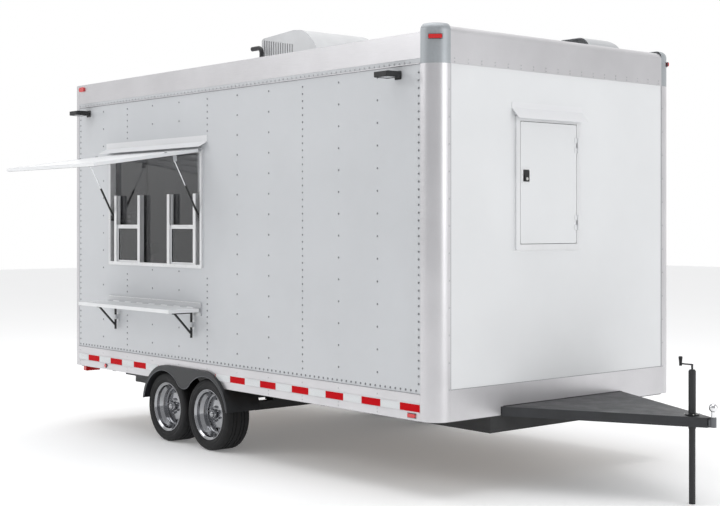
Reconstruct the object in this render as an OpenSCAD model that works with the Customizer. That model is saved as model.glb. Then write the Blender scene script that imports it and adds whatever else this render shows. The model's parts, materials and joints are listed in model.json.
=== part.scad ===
// Concession trailer with a serving hatch, a folding shelf and a tandem torsion axle.
// Millimetres. +X runs forward to the tow ball, +Y to the road side, +Z up, and the ground is Z = 0.

/* [Body] */
// Length of the box body, without the tongue
body_l = 4880; // [4860:10:4900]
// Width of the box body over its side walls
body_w = 2590; // [2580:2:2600]
// Height of the body's lower edge above the ground
body_low = 528; // [520:1:535]
// Height of the side rails' top edge
body_top = 3149; // [3140:1:3160]
// Radius of the rounded front corner posts
post_r = 120; // [116:1:150]
// Thickness of the outer skins and edge rails
skin = 3; // [2:0.5:3]
// Depth of a wall from its outer face to its lining
wall_depth = 50; // [46:1:60]

/* [Serving window] */
// Distance of the window's centre behind the body's centre
window_back = 1073; // [1060:1:1085]
// Width over the window frame
window_w = 1509; // [1490:1:1520]
// Height of the window frame's lower edge
window_low = 1487; // [1484:1:1495]
// Height of the window frame's upper edge
window_high = 2477; // [2470:1:2480]
// Width of the frame's members
frame_bar = 30; // [24:1:34]
// Distance from the window's centre to each inner guide post
post_near = 240; // [220:1:260]
// Distance from the window's centre to each outer guide post
post_far = 640; // [630:1:650]

/* [Hatch] */
// Height of the hatch's hinge line
hinge_z = 2455; // [2452:1:2458]
// Distance from the hinge line to the hatch's free edge
hatch_l = 990; // [950:1:992]
// Thickness of the hatch panel
hatch_t = 25; // [18:1:30]
// Angle from closed to the open position it is drawn in
hatch_open = 81.6; // [75:0.2:85]

/* [Shelf] */
// Height of the shelf board's top
shelf_top = 1160; // [1150:1:1165]
// Depth of the shelf board
shelf_d = 292; // [260:1:294]
// Thickness of the shelf board
shelf_t = 30; // [20:1:30]

/* [Doors] */
// Width of the front access door
front_door_w = 596; // [580:1:600]
// Height of the front access door
front_door_h = 862; // [840:1:870]
// Width of the rear entry door
rear_door_w = 800; // [760:5:820]
// Height of the rear entry door
rear_door_h = 1900; // [1850:5:1940]

/* [Running gear] */
// Radius of the tyres
tyre_r = 293; // [290:1:295]
// Width of the tyres
tyre_w = 230; // [210:1:235]
// Radius over the rim flange
rim_r = 207; // [204:1:210]
// Distance between the two axles
axle_pitch = 621; // [615:1:640]
// Distance of the axles' centre behind the body's centre
axle_back = 569.5; // [560:0.5:580]
// Length of a torsion arm from its tube to the spindle
arm_l = 150; // [140:1:152]
// Angle of the arms below horizontal
arm_angle = 22.5; // [20:0.5:25]

/* [Tongue] */
// Distance from the body's front face to the hitch block
tongue_l = 1244; // [1230:1:1250]
// Half width of the tongue where it meets the body
tongue_half = 655; // [645:1:680]
// Distance of the jack behind the hitch block
jack_back = 134; // [128:1:140]
// Radius of the tow ball
ball_r = 29.35; // [25:0.05:30]

/* [Hidden] */
$fn = 64;

// Small amounts used throughout
eps = 1;
gap = 0.5;
pin_gap = 0.05;

// Body faces and levels
half_l = body_l / 2;
half_w = body_w / 2;
panel_y = half_w - skin;
rub_high = body_low + 180;
kick_high = body_low + 212;
rail_low = body_top - 174;
front_rail_low = rail_low - 38;
front_rail_top = body_top + 46;
front_round = 50;
// Height of the corner castings above the front rail, and their wall thickness
casting_rise = 16;
casting_t = skin - gap;
post_flange = 24;
// Length of a front corner along the body, with its flange and running room
corner_l = post_r + post_flange + gap;
deck_low = 662;
deck_t = 28;
lining_t = 3;
lining_y = half_w - wall_depth;
lining_x = half_l - wall_depth;
ceiling_z = body_top - 70;
roof_crown = 25;
roof_lift = 2.3;
roof_t = 2;
roof_half = half_w - 6;
roof_strips = 8;

// Chassis
rail_y = 762;
rail_h = 112;
rail_low_z = 410;
beam_w = 50;
cross_h = deck_low - rail_low_z - rail_h;
gauge = 5;
sheet_t = 1.5;
cross_x = [-2370, -1800, -1240, -570, 70, 640, 1210, 1780];
header_x = half_l - 66;

// Tongue
tongue_low = 522;
tongue_top = 588;
tip_x = half_l + tongue_l;
tip_half = 24;
tongue_bar = 62;
tongue_plate = 4;
// The tongue starts just inside the body's front face, and is solid around the jack
tongue_x = half_l - 6;
tongue_slope = atan2(tongue_half - tip_half, tip_x - tongue_x);
tip_block_x = tip_x - 174;
jack_x = tip_x - jack_back;
// Radius of the socket that holds the ball at the tongue's tip
socket_r = 20;
jack_r = 24.5;
leg_r = 21.5;
jack_top = 880;
jack_low = 500;
ball_x = tip_x + 32;
ball_z = 654.5;

// Wheels and fenders
wheel_xs = [-axle_back + axle_pitch / 2, -axle_back - axle_pitch / 2];
arm_dx = arm_l * cos(arm_angle);
arm_dz = arm_l * sin(arm_angle);
arm_in = 938;
arm_out = 963;
spindle_r = 17;
drum_r = 118;
stub_r = 15;
tyre_out = half_w;
dish = 94;
bead_r = 190;
// Depth of the rim's outer flange behind the face of the tyre
lip = 14;
holes = 8;
hole_r = 15;
hole_pcd_r = 128;
fender_out = half_w + 30;
fender_in = half_w - 300;
fender_low = 344;
fender_top = 652;
fender_t = 3;
fender_round = fender_top - tyre_r;
fender_shift = 26;
arch_r = 315;
web_low = 478;
tip_rise = web_low - tyre_r;
tip_r = (pow(axle_pitch / 2, 2) + tip_rise * tip_rise - arch_r * arch_r) / (2 * (arch_r - tip_rise));

// Window, guide posts and sashes
window_x = -window_back;
win_l = window_x - window_w / 2;
win_r = window_x + window_w / 2;
in_l = win_l + frame_bar;
in_r = win_r - frame_bar;
in_low = window_low + frame_bar;
in_high = window_high - frame_bar;
proud = 12;
face_y = -half_w - proud;
sleeve = 15;
post_w = 40;
post_d = 42;
post_high = window_high - 370;
groove = 8;
sash_t = 16;
sash_y = face_y + 15;
sash_high = 1847;
sash_bar = 34;
sash_edge = 14;
glass_t = 6;
glass_y = -lining_y - glass_t;

// Hatch and struts, drawn closed and then turned open about the hinge line
hinge_y = -half_w - 25;
hatch_x0 = window_x - 750;
hatch_x1 = window_x + 750;
hatch_in = 8;
hatch_start = 15;
hatch_rim = 40;
knuckle_r = 7;
knuckle = 100;
hatch_pin_r = 3;
strut_half = 690;
strut_r = 9;
rod_r = 4;
foot = [-half_w + 7, 1907];
foot_pin_r = 4;
head_closed = [50, -219.5];
head_reach = norm(head_closed);
head_turn = atan2(head_closed[1], head_closed[0]);
head = [hinge_y + head_reach * cos(head_turn - hatch_open),
    hinge_z + head_reach * sin(head_turn - hatch_open)];
strut_l = norm(head - foot);
strut_tilt = atan2(head[1] - foot[1], head[0] - foot[0]) - 90;
cylinder_l = 296;
lug_side = 12;
lug_t = 4;

// Shelf
shelf_x0 = window_x - 755;
shelf_x1 = window_x + 735;
cleat_t = 8;
cleat_low = shelf_top - 64;
cleat_high = shelf_top + 48;
shelf_pin_y = -half_w - 17;
shelf_pin_z = shelf_top + 2;
shelf_knuckle_r = 6;
shelf_pin_r = 2.5;
shelf_back = 8;
bracket_xs = [window_x + 620, window_x - 610];
bracket_y = -half_w - 25;
bracket_low = 912;
bracket_r = 10;
bracket_pin_r = 4;
bracket_reach = 185;
bracket_top = shelf_top - shelf_t - 3;
bracket_bar = 14;
barrel_low = 1000;
barrel_high = 1040;

// Doors
front_door_y = -177.5;
front_door_low = 1717;
rear_door_y = 430;
rear_door_low = 748;
door_t = 24;
door_frame = 44;
door_pin_r = 3;
door_knuckle_r = 8;
door_gap = 4;
lever_z = 900;

// Lights on the curb side
flood_xs = [2072, -2215];
flood_z = 2875;
flood_w = 140;
flood_d = 128;
flood_t = 34;

// Roof equipment
ac_x0 = -655;
ac_y0 = -450;
ac_l = 800;
ac_w = 700;
ac_low = body_top + roof_crown - 12;
vent_x0 = 1760;
vent_y0 = 650;
vent_l = 380;
vent_w = 380;
hood_low = 3242;
hood_top = 3312;
hood_r = 110;
hood_pin_r = 3;
pipe_x = -560;
pipe_y = -520;
pipe_r = 20;
pipe_bend = 48;
pipe_top = 3392;
pipe_foot = 3174;

// The row's origin is the middle of the whole trailer's footprint, at the ground
rear_reach = half_l + 58;
front_reach = ball_x + ball_r;
hatch_reach = -hinge_y + hatch_l * sin(hatch_open) + (hatch_t - hatch_in) * cos(hatch_open);
origin = [(rear_reach - front_reach) / 2, (hatch_reach - fender_out) / 2, 0];

module place() {
    translate(origin) children();
}

module span(low, high) {
    translate(low) cube(high - low);
}

// A cylinder along Y between two values of Y
module across(x, z, y0, y1, r) {
    translate([x, y0, z]) rotate([-90, 0, 0]) cylinder(h = y1 - y0, r = r);
}

// A cylinder along X between two values of X
module along(y, z, x0, x1, r) {
    translate([x0, y, z]) rotate([0, 90, 0]) cylinder(h = x1 - x0, r = r);
}

// A flat shape in X and Z, from y0 to y1
module slab_xz(y0, y1) {
    translate([0, y1, 0]) rotate([90, 0, 0]) linear_extrude(y1 - y0) children();
}

// A flat shape in Y and Z, from x0 to x1
module slab_yz(x0, x1) {
    translate([x0, 0, 0]) rotate([90, 0, 90]) linear_extrude(x1 - x0) children();
}

// A rectangle with rounded corners, given by its low and high corners
module round_rect(low, high, r) {
    translate(low + [r, 0]) square([high[0] - low[0] - 2 * r, high[1] - low[1]]);
    translate(low + [0, r]) square([high[0] - low[0], high[1] - low[1] - 2 * r]);
    for (x = [low[0] + r, high[0] - r], y = [low[1] + r, high[1] - r])
        translate([x, y]) circle(r);
}

// Both sides of the trailer
module both_sides() {
    children();
    mirror([0, 1, 0]) children();
}

// A channel section, its web upright and its open side towards +X
module channel_2d(h, flange) {
    difference() {
        square([flange, h]);
        translate([gauge, gauge]) square([flange, h - 2 * gauge]);
    }
}

module chassis_frame() {
    place() color("dimgray") {
        for (side = [-1, 1])
            slab_yz(-half_l + 60, half_l - 10)
                translate([side * rail_y, rail_low_z]) mirror([side > 0 ? 1 : 0, 0])
                    channel_2d(rail_h, beam_w);
        for (x = cross_x)
            slab_xz(-cross_half(x), cross_half(x))
                translate([x, rail_low_z + rail_h]) channel_2d(cross_h, beam_w);
        slab_xz(-half_w + 145, half_w - 145)
            translate([header_x, rail_low_z + rail_h]) channel_2d(cross_h, 60);
        // The front ends of the rails are closed by a header of their own height
        span([half_l - 10 - gauge, -rail_y, rail_low_z], [half_l - 10, rail_y, rail_low_z + rail_h]);
    }
}

// The cross members stop short of the wheels
function cross_half(x) = abs(x + axle_back) < 800 ? fender_in - 10 : half_w - 12;

// Half the tongue's width at x, less a margin measured square to its edge
function tongue_reach(x, inset) =
    tip_half + (tip_x - x) * tan(tongue_slope) - inset / cos(tongue_slope);

// The strip of the tongue's plan between two insets from its edge, on one side
module tongue_strip(x0, x1, outer, inner) {
    polygon([[x0, tongue_reach(x0, inner)], [x1, tongue_reach(x1, inner)],
        [x1, tongue_reach(x1, outer)], [x0, tongue_reach(x0, outer)]]);
}

module tongue_plan() {
    polygon([[tongue_x, -tongue_half], [tip_x, -tip_half], [tip_x, tip_half], [tongue_x, tongue_half]]);
}

module tongue_bay() {
    polygon([[tongue_x - eps, -tongue_reach(tongue_x - eps, tongue_bar)],
        [tip_block_x, -tongue_reach(tip_block_x, tongue_bar)],
        [tip_block_x, tongue_reach(tip_block_x, tongue_bar)],
        [tongue_x - eps, tongue_reach(tongue_x - eps, tongue_bar)]]);
}

module tongue_frame() {
    place() color("dimgray") difference() {
        translate([0, 0, tongue_low]) linear_extrude(tongue_top - tongue_low) tongue_plan();
        translate([0, 0, tongue_low - eps])
            linear_extrude(tongue_top - tongue_plate - tongue_low + eps) tongue_bay();
        both_sides() translate([0, 0, tongue_low + gauge])
            linear_extrude(tongue_top - tongue_plate - tongue_low - 2 * gauge)
                tongue_strip(tongue_x - eps, tip_block_x, gauge, tongue_bar - gauge);
        translate([jack_x, 0, 0]) cylinder(h = body_top, r = jack_r + 0.1);
    }
}

module tow_hitch() {
    place() color("silver") {
        span([tip_x + 0.2, -socket_r + 6, tongue_low + 12], [ball_x, socket_r - 6, tongue_top - 12]);
        translate([ball_x, 0, tongue_low + 4]) cylinder(h = tongue_top - tongue_low, r = socket_r);
        translate([ball_x, 0, tongue_top]) cylinder(h = ball_z - tongue_top - 20, r = 13);
        translate([ball_x, 0, ball_z]) sphere(ball_r);
    }
}

module floor_deck() {
    place() color("tan")
        span([-lining_x, -lining_y, deck_low + 0.2], [lining_x, lining_y, deck_low + deck_t]);
}

// Outer skin of one side, on the -Y side
module side_skin() {
    span([-half_l + skin + gap, -panel_y, rub_high - 12],
        [half_l - post_r - 2, -panel_y + skin, body_top - 6]);
}

module curb_wall() {
    place() color("whitesmoke") difference() {
        side_skin();
        span([in_l - sleeve, -half_w - eps, in_low - sleeve], [in_r + sleeve, -lining_y, in_high + sleeve]);
    }
}

module road_wall() {
    place() color("whitesmoke") mirror([0, 1, 0]) side_skin();
}

module front_wall() {
    place() color("white") difference() {
        span([half_l - 2 * skin, -half_w + post_r + 2, rub_high - 12],
            [half_l - skin, half_w - post_r - 2, front_rail_low + 60]);
        span([half_l - 50, front_door_y - front_door_w / 2 - 24, front_door_low - 24],
            [half_l + eps, front_door_y + front_door_w / 2 + 24, front_door_low + front_door_h + 24]);
    }
}

module rear_wall() {
    place() color("whitesmoke") difference() {
        span([-half_l + skin, -half_w + 2 * skin + gap, body_low + 30],
            [-half_l + 2 * skin, half_w - 2 * skin - gap, body_top - 6]);
        span([-half_l - eps, rear_door_y - rear_door_w / 2 - 24, rear_door_low - 24],
            [-half_l + 50, rear_door_y + rear_door_w / 2 + 24, rear_door_low + rear_door_h + 24]);
    }
}

module front_post_2d() {
    difference() {
        circle(post_r);
        circle(post_r - skin);
        translate([-2 * post_r, -2 * post_r]) square([2 * post_r, 4 * post_r]);
        translate([-2 * post_r, 0]) square([4 * post_r, 2 * post_r]);
    }
    translate([-post_flange, -post_r]) square([post_flange + 0.01, skin]);
    translate([post_r - skin, -0.01]) square([skin, post_flange]);
}

module corner_posts() {
    place() color("gainsboro") both_sides() {
        translate([half_l - post_r, -half_w + post_r, body_low])
            linear_extrude(front_rail_low - body_low - gap) front_post_2d();
        span([-half_l, -half_w, body_low], [-half_l + 45, -half_w + skin, body_top]);
        span([-half_l, -half_w, body_low], [-half_l + skin, -half_w + 45, body_top]);
    }
}

// Rounded cap over a front corner: an upright wall that rolls over to a flat top
module casting_2d() {
    rise = front_rail_top + casting_rise - front_rail_low;
    difference() {
        square([post_r, rise]);
        square([post_r - casting_t, rise - front_round]);
        square([post_r - front_round, rise - casting_t]);
        translate([post_r - front_round, rise - front_round]) circle(front_round - casting_t);
        translate([post_r - front_round, rise - front_round])
            difference() {
                square(2 * front_round);
                circle(front_round);
            }
    }
}

module corner_castings() {
    place() color("lightslategray") both_sides()
        translate([half_l - post_r, -half_w + post_r, front_rail_low]) {
            rotate([0, 0, -90]) rotate_extrude(angle = 90) casting_2d();
            // Straight ends over the post's two flanges
            translate([-post_flange, 0, 0]) mirror([0, 1, 0]) rotate([90, 0, 90])
                linear_extrude(post_flange) casting_2d();
            translate([0, post_flange, 0]) rotate([90, 0, 0]) linear_extrude(post_flange) casting_2d();
        }
}

module front_rail_2d() {
    rise = front_rail_top - front_rail_low;
    difference() {
        translate([-post_r, 0]) square([post_r, rise]);
        translate([-post_r + skin, -eps]) square([post_r - 2 * skin, rise - front_round + eps]);
        translate([-post_r + skin, -eps]) square([post_r - skin - front_round, rise - skin + eps]);
        translate([-post_r - eps, -eps]) square([skin + 2 * eps, rise - 14]);
        translate([-front_round, rise - front_round]) circle(front_round - skin);
        translate([-front_round, rise - front_round])
            difference() {
                square(2 * front_round);
                circle(front_round);
            }
    }
}

module top_rails() {
    place() color("gainsboro") {
        both_sides() {
            span([-half_l + 46, -half_w, rail_low], [half_l - corner_l, -half_w + skin, body_top]);
            span([-half_l + 46, -half_w, body_top - skin], [half_l - corner_l, -half_w + 60, body_top]);
        }
        slab_xz(-half_w + corner_l, half_w - corner_l)
            translate([half_l, front_rail_low]) front_rail_2d();
        span([-half_l, -half_w + 46, rail_low], [-half_l + skin, half_w - 46, body_top]);
    }
}

module fender_side(shrink) {
    intersection() {
        union() {
            for (side = [-1, 1])
                translate([-axle_back + side * (axle_pitch / 2 - fender_shift), tyre_r])
                    circle(fender_round - shrink);
            translate([-axle_back - axle_pitch / 2 + fender_shift, tyre_r])
                square([axle_pitch - 2 * fender_shift, fender_round - shrink]);
        }
        translate([-axle_back - 1000, fender_low]) square([2000, 1000]);
    }
}

// The face between the two wheel arches, ending below in a rounded tip
module fender_face() {
    tip_z = web_low + tip_r;
    tangent_z = tyre_r + (tip_z - tyre_r) * arch_r / (arch_r + tip_r);
    difference() {
        fender_side(0);
        for (x = wheel_xs) translate([x, tyre_r]) circle(arch_r);
        translate([-axle_back - 120, fender_low - eps]) square([240, tangent_z - fender_low + eps]);
    }
    intersection() {
        translate([-axle_back, tip_z]) circle(tip_r);
        translate([-axle_back - 120, web_low - eps]) square([240, tangent_z - web_low + eps + 0.01]);
    }
}

module fenders() {
    place() color("darkslategray") both_sides() {
        slab_xz(-fender_out, -fender_out + fender_t) fender_face();
        slab_xz(-fender_out + fender_t - 0.01, -fender_in) difference() {
            fender_side(0);
            translate([0, -0.01]) fender_side(fender_t);
        }
    }
}

module sill_rails() {
    place() color("gainsboro") {
        both_sides() difference() {
            span([-half_l + 46, -half_w, body_low],
                [half_l - corner_l, -half_w + skin, rub_high]);
            slab_xz(-half_w - eps, -half_w + 2 * skin) {
                fender_side(-gap);
                translate([-axle_back - fender_round - axle_pitch / 2 + fender_shift - gap, 0])
                    square([axle_pitch + 2 * fender_round - 2 * fender_shift + 2 * gap, fender_low + eps]);
            }
        }
        difference() {
            span([half_l - skin, -half_w + corner_l, body_low], [half_l, half_w - corner_l, kick_high]);
            span([half_l - 2 * skin, -tongue_half - 12, body_low - eps],
                [half_l + eps, tongue_half + 12, tongue_top + gap]);
        }
        span([-half_l, -half_w + 46, body_low], [-half_l + skin, half_w - 46, kick_high - 40]);
    }
}

// Height of the crowned roof's upper surface at a distance from the centre line
function roof_at(y) = body_top + roof_lift + roof_crown * (1 - y * y / (half_w * half_w));

// The crown in flat strips from one side to the other, in Y and Z, raised by a small amount
function roof_line(raise) = [for (i = [-roof_strips:roof_strips])
    let (y = roof_half * i / roof_strips) [y, roof_at(y) + raise]];

// Solid filling everything below the roof's crown, cut from what stands on it
module roof_cut() {
    slab_yz(-half_l, half_l)
        polygon(concat([[-roof_half, body_top - 100]], roof_line(gap), [[roof_half, body_top - 100]]));
}

module roof_2d() {
    upper = roof_line(0);
    lower = roof_line(-roof_t);
    polygon(concat(upper, [for (i = [len(lower) - 1:-1:0]) lower[i]]));
}

module roof_skin() {
    place() color("whitesmoke")
        slab_yz(-half_l + 4, half_l - 154) roof_2d();
}

// Thin panels on the inside of the walls and ceiling, with holes at the window and both doors
module inner_lining() {
    low = deck_low + deck_t + gap;
    place() color("gray") {
        difference() {
            span([-lining_x, -lining_y, low], [lining_x, -lining_y + lining_t, ceiling_z]);
            span([in_l, -lining_y - eps, in_low], [in_r, -lining_y + 2 * lining_t, in_high]);
        }
        span([-lining_x, lining_y - lining_t, low], [lining_x, lining_y, ceiling_z]);
        difference() {
            span([lining_x - lining_t, -lining_y, low], [lining_x, lining_y, ceiling_z]);
            span([lining_x - 2 * lining_t, front_door_y - front_door_w / 2, front_door_low],
                [lining_x + eps, front_door_y + front_door_w / 2, front_door_low + front_door_h]);
        }
        difference() {
            span([-lining_x, -lining_y, low], [-lining_x + lining_t, lining_y, ceiling_z]);
            span([-lining_x - eps, rear_door_y - rear_door_w / 2, low - eps],
                [-lining_x + 2 * lining_t, rear_door_y + rear_door_w / 2, rear_door_low + rear_door_h]);
        }
        span([-lining_x, -lining_y, ceiling_z], [lining_x, lining_y, ceiling_z + lining_t]);
    }
}

// Waste water tank slung between the cross members behind the wheels
module water_tank() {
    place() color("dimgray") {
        span([-2030, -1010, 452], [-1650, -830, rail_low_z + rail_h]);
        span([-1870, -1000, 398], [-1650, -840, 452.01]);
    }
}

module lamps() {
    place() color("red") {
        both_sides() {
            // Corner clearance lamp on the casting, facing between forward and sideways
            translate([half_l - post_r, -half_w + post_r, 3112]) rotate([0, 0, -45])
                translate([post_r + 0.2, 0, 0]) rotate([90, 0, 90]) linear_extrude(14)
                    round_rect([-46, -14], [46, 14], 8);
            // Rear clearance lamp on the side rail
            slab_xz(-half_w - 14, -half_w - 0.2) round_rect([-2380, 3088], [-2290, 3130], 20);
            // Front and rear side markers on the rub rail
            slab_xz(-half_w - 10, -half_w - 0.2) round_rect([2175, 547], [2250, 573], 8);
            across(-1895, 563, -half_w - 10, -half_w - 0.2, 17);
            // Tail lamp under the rear corner
            slab_yz(-half_l - 12, -half_l + 34)
                round_rect([-half_w + 78, 466], [-half_w + 227, body_low - 2], 8);
        }
    }
}

module window_frame() {
    place() color("silver") {
        difference() {
            union() {
                slab_xz(face_y, -half_w + skin - 0.2)
                    round_rect([win_l, window_low], [win_r, window_high], 16);
                span([in_l - sleeve + gap, -half_w, in_low - sleeve + gap],
                    [in_r + sleeve - gap, -lining_y - 0.2, in_high + sleeve - gap]);
            }
            span([in_l, face_y - eps, in_low], [in_r, -lining_y + eps, in_high]);
        }
        for (x = [-post_far, -post_near, post_near, post_far]) guide_post(x);
    }
}

// An upright post with a groove on the side where its sash slides
module guide_post(x) {
    side = (abs(x) > (post_near + post_far) / 2 ? -1 : 1) * sign(x);
    translate([window_x + x, 0, 0]) difference() {
        span([-post_w / 2, face_y + 2, in_low - 0.01], [post_w / 2, face_y + 2 + post_d, post_high]);
        translate([side * post_w / 2, 0, 0])
            span([-groove, sash_y - 1, in_low - eps], [groove, sash_y + sash_t + 1, post_high + eps]);
    }
}

// Width of a sash between the bottoms of its two grooves, less running room
sash_w = post_far - post_near - post_w + 2 * (groove - 1);

module sash(x) {
    translate([x, 0, 0]) {
        difference() {
            span([-sash_w / 2, sash_y, in_low + 1], [sash_w / 2, sash_y + sash_t, sash_high]);
            span([-sash_w / 2 + sash_edge + groove, sash_y - eps, in_low + 1 + sash_edge],
                [sash_w / 2 - sash_edge - groove, sash_y + sash_t + eps, sash_high - sash_bar]);
        }
        span([-sash_w / 2 + sash_edge, sash_y + 6, in_low + 10],
            [sash_w / 2 - sash_edge, sash_y + 10, sash_high - 20]);
    }
}

module sash_front() {
    place() color("silver") sash(window_x + (post_near + post_far) / 2);
}

module sash_rear() {
    place() color("silver") sash(window_x - (post_near + post_far) / 2);
}

// Fixed glass, open behind each sash
module window_glass() {
    place() color("lightblue", 0.4) difference() {
        span([in_l + 0.5, glass_y - 0.5, in_low + 0.5], [in_r - 0.5, glass_y + glass_t - 1, in_high - 0.5]);
        for (x = [-1, 1])
            translate([window_x + x * (post_near + post_far) / 2, 0, 0])
                span([-sash_w / 2 + 14, glass_y - 2 * eps, in_low - eps],
                    [sash_w / 2 - 14, glass_y + 2 * glass_t, sash_high - sash_bar]);
    }
}

// A bent rain cap: a flange on the wall and a lip that slopes out and down, in depth and height
module cap_2d(reach, drop, high) {
    polygon([[0, 0], [0, high], [3, high], [3, 4], [reach, -drop + 3], [reach, -drop], [3, 0]]);
}

module drip_caps() {
    place() color("whitesmoke") {
        // Over the serving window
        mirror([0, 1, 0]) slab_yz(window_x - 815, window_x + 812)
            translate([half_w - skin + 0.2, 2528]) cap_2d(78, 42, 55);
        // Over the front door
        translate([half_l - skin + 0.2, front_door_y, 2669]) rotate([90, 0, 0])
            translate([0, 0, -374]) linear_extrude(748) cap_2d(68, 72, 45);
        // Over the rear door
        translate([-half_l + skin - 0.2, rear_door_y, 2735]) rotate([90, 0, 180])
            translate([0, 0, -470]) linear_extrude(940) cap_2d(56, 40, 45);
    }
}

// Knuckles of a piano hinge along X, every second one, first = 0 or 1
module knuckles(x0, x1, y, z, r, first) {
    count = floor((x1 - x0) / knuckle);
    for (i = [first:2:count - 1])
        along(y, z, x0 + i * knuckle + gap, x0 + (i + 1) * knuckle - gap, r);
}

module hatch_hinge() {
    place() color("silver") {
        span([hatch_x0, face_y - 3.4, hinge_z - 5], [hatch_x1, face_y - 0.2, window_high - 3]);
        intersection() {
            span([hatch_x0, hinge_y, hinge_z - 4], [hatch_x1, face_y - 1, hinge_z + 4]);
            for (i = [0:2:14])
                span([hatch_x0 + i * knuckle + gap, hinge_y - 50, 0],
                    [hatch_x0 + (i + 1) * knuckle - gap, 0, body_top]);
        }
        knuckles(hatch_x0, hatch_x1, hinge_y, hinge_z, knuckle_r, 0);
        along(hinge_y, hinge_z, hatch_x0 + gap, hatch_x1 - gap, hatch_pin_r);
    }
}

// Things on the hatch are drawn closed, relative to the hinge line, and turned open here
module on_hatch() {
    translate([0, hinge_y, hinge_z]) rotate([-hatch_open, 0, 0]) children();
}

module hatch_panel() {
    place() color("white") on_hatch() difference() {
        span([hatch_x0, hatch_in - hatch_t, -hatch_l], [hatch_x1, hatch_in, -hatch_start]);
        // A shallow recess inside the edge frame, on the underside
        span([hatch_x0 + hatch_rim, hatch_in - 6, -hatch_l + hatch_rim],
            [hatch_x1 - hatch_rim, hatch_in + eps, -hatch_start - hatch_rim]);
        // The sealed space between the two sheets
        span([hatch_x0 + 4, hatch_in - hatch_t + sheet_t, -hatch_l + 4],
            [hatch_x1 - 4, hatch_in - 6 - sheet_t, -hatch_start - 4]);
    }
}

module hatch_hardware() {
    place() color("darkgray") on_hatch() {
        difference() {
            union() {
                knuckles(hatch_x0, hatch_x1, 0, 0, knuckle_r, 1);
                for (i = [1:2:13])
                    span([hatch_x0 + i * knuckle + gap, hatch_in - hatch_t / 2 - 3, -hatch_start + 0.2],
                        [hatch_x0 + (i + 1) * knuckle - gap, hatch_in - hatch_t / 2 + 3, 0]);
            }
            along(0, 0, hatch_x0 - eps, hatch_x1 + eps, hatch_pin_r + pin_gap);
        }
        for (side = [-1, 1]) translate([window_x + side * strut_half, 0, 0]) head_bracket(side);
    }
}

// Strut bracket under the hatch: a foot plate, a side cheek, a short stud and two bolt heads on top
module head_bracket(side) {
    y = head_closed[0];
    z = head_closed[1];
    low = lug_side;
    span([side > 0 ? low : -low - lug_t, hatch_in - 5.8, z - 16],
        [side > 0 ? low + lug_t : -low, y + 10, z + 16]);
    along(y, z, side > 0 ? strut_r + gap : -low - eps, side > 0 ? low + eps : -strut_r - gap, 5);
    for (dz = [-85, 85])
        translate([side * 22, 0, z + dz]) rotate([90, 0, 0])
            translate([0, 0, hatch_t - hatch_in + 0.2]) cylinder(h = 9, r = 11, $fn = 6);
}

module strut_feet() {
    place() color("black") for (side = [-1, 1]) {
        x = window_x + side * strut_half;
        low = lug_side;
        span([side > 0 ? x + low : in_l + 0.2, foot[0] - 14, foot[1] - 24],
            [side > 0 ? in_r - 0.2 : x - low, foot[0] + 18, foot[1] + 24]);
        along(foot[0], foot[1], side > 0 ? x - strut_r : x - low - eps,
            side > 0 ? x + low + eps : x + strut_r, foot_pin_r);
    }
}

// Things on a strut are drawn upright from its foot and tilted here
module on_strut(side) {
    translate([window_x + side * strut_half, foot[0], foot[1]]) rotate([strut_tilt, 0, 0]) children();
}

module strut_cylinders() {
    place() color("black") for (side = [-1, 1]) on_strut(side) difference() {
        union() {
            along(0, 0, -strut_r, strut_r, 10);
            cylinder(h = cylinder_l, r = strut_r);
        }
        along(0, 0, -strut_r - eps, strut_r + eps, foot_pin_r + pin_gap);
        translate([0, 0, 20]) cylinder(h = cylinder_l, r = rod_r + pin_gap);
    }
}

module strut_rods() {
    place() color("silver") for (side = [-1, 1]) on_strut(side) {
        translate([0, 0, 235]) cylinder(h = strut_l - 235, r = rod_r);
        translate([0, 0, strut_l]) sphere(8.5);
    }
}

module shelf_cleat() {
    count = floor((shelf_x1 - shelf_x0) / knuckle);
    place() color("gainsboro") {
        slab_xz(-half_w - cleat_t, -half_w + skin - 0.2)
            round_rect([shelf_x0, cleat_low], [shelf_x1, cleat_high], 10);
        for (i = [0:2:count - 1])
            span([shelf_x0 + i * knuckle + gap, shelf_pin_y, shelf_pin_z - 3],
                [shelf_x0 + (i + 1) * knuckle - gap, -half_w - cleat_t + 0.01, shelf_pin_z + 3]);
        knuckles(shelf_x0, shelf_x1, shelf_pin_y, shelf_pin_z, shelf_knuckle_r, 0);
        along(shelf_pin_y, shelf_pin_z, shelf_x0 + gap, shelf_x1 - gap, shelf_pin_r);
        // Fixed barrels and pins of the two folding brackets
        for (x = bracket_xs) {
            translate([x, bracket_y, barrel_low + gap])
                cylinder(h = barrel_high - barrel_low - 2 * gap, r = bracket_r);
            translate([x, bracket_y, bracket_low + 8])
                cylinder(h = bracket_top - bracket_low - 24, r = bracket_pin_r);
            span([x - 5, bracket_y, barrel_low + gap], [x + 5, -panel_y - 0.2, barrel_high - gap]);
            span([x - 18, -panel_y - 4, barrel_low - 20], [x + 18, -panel_y - 0.2, barrel_high + 20]);
        }
    }
}

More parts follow.
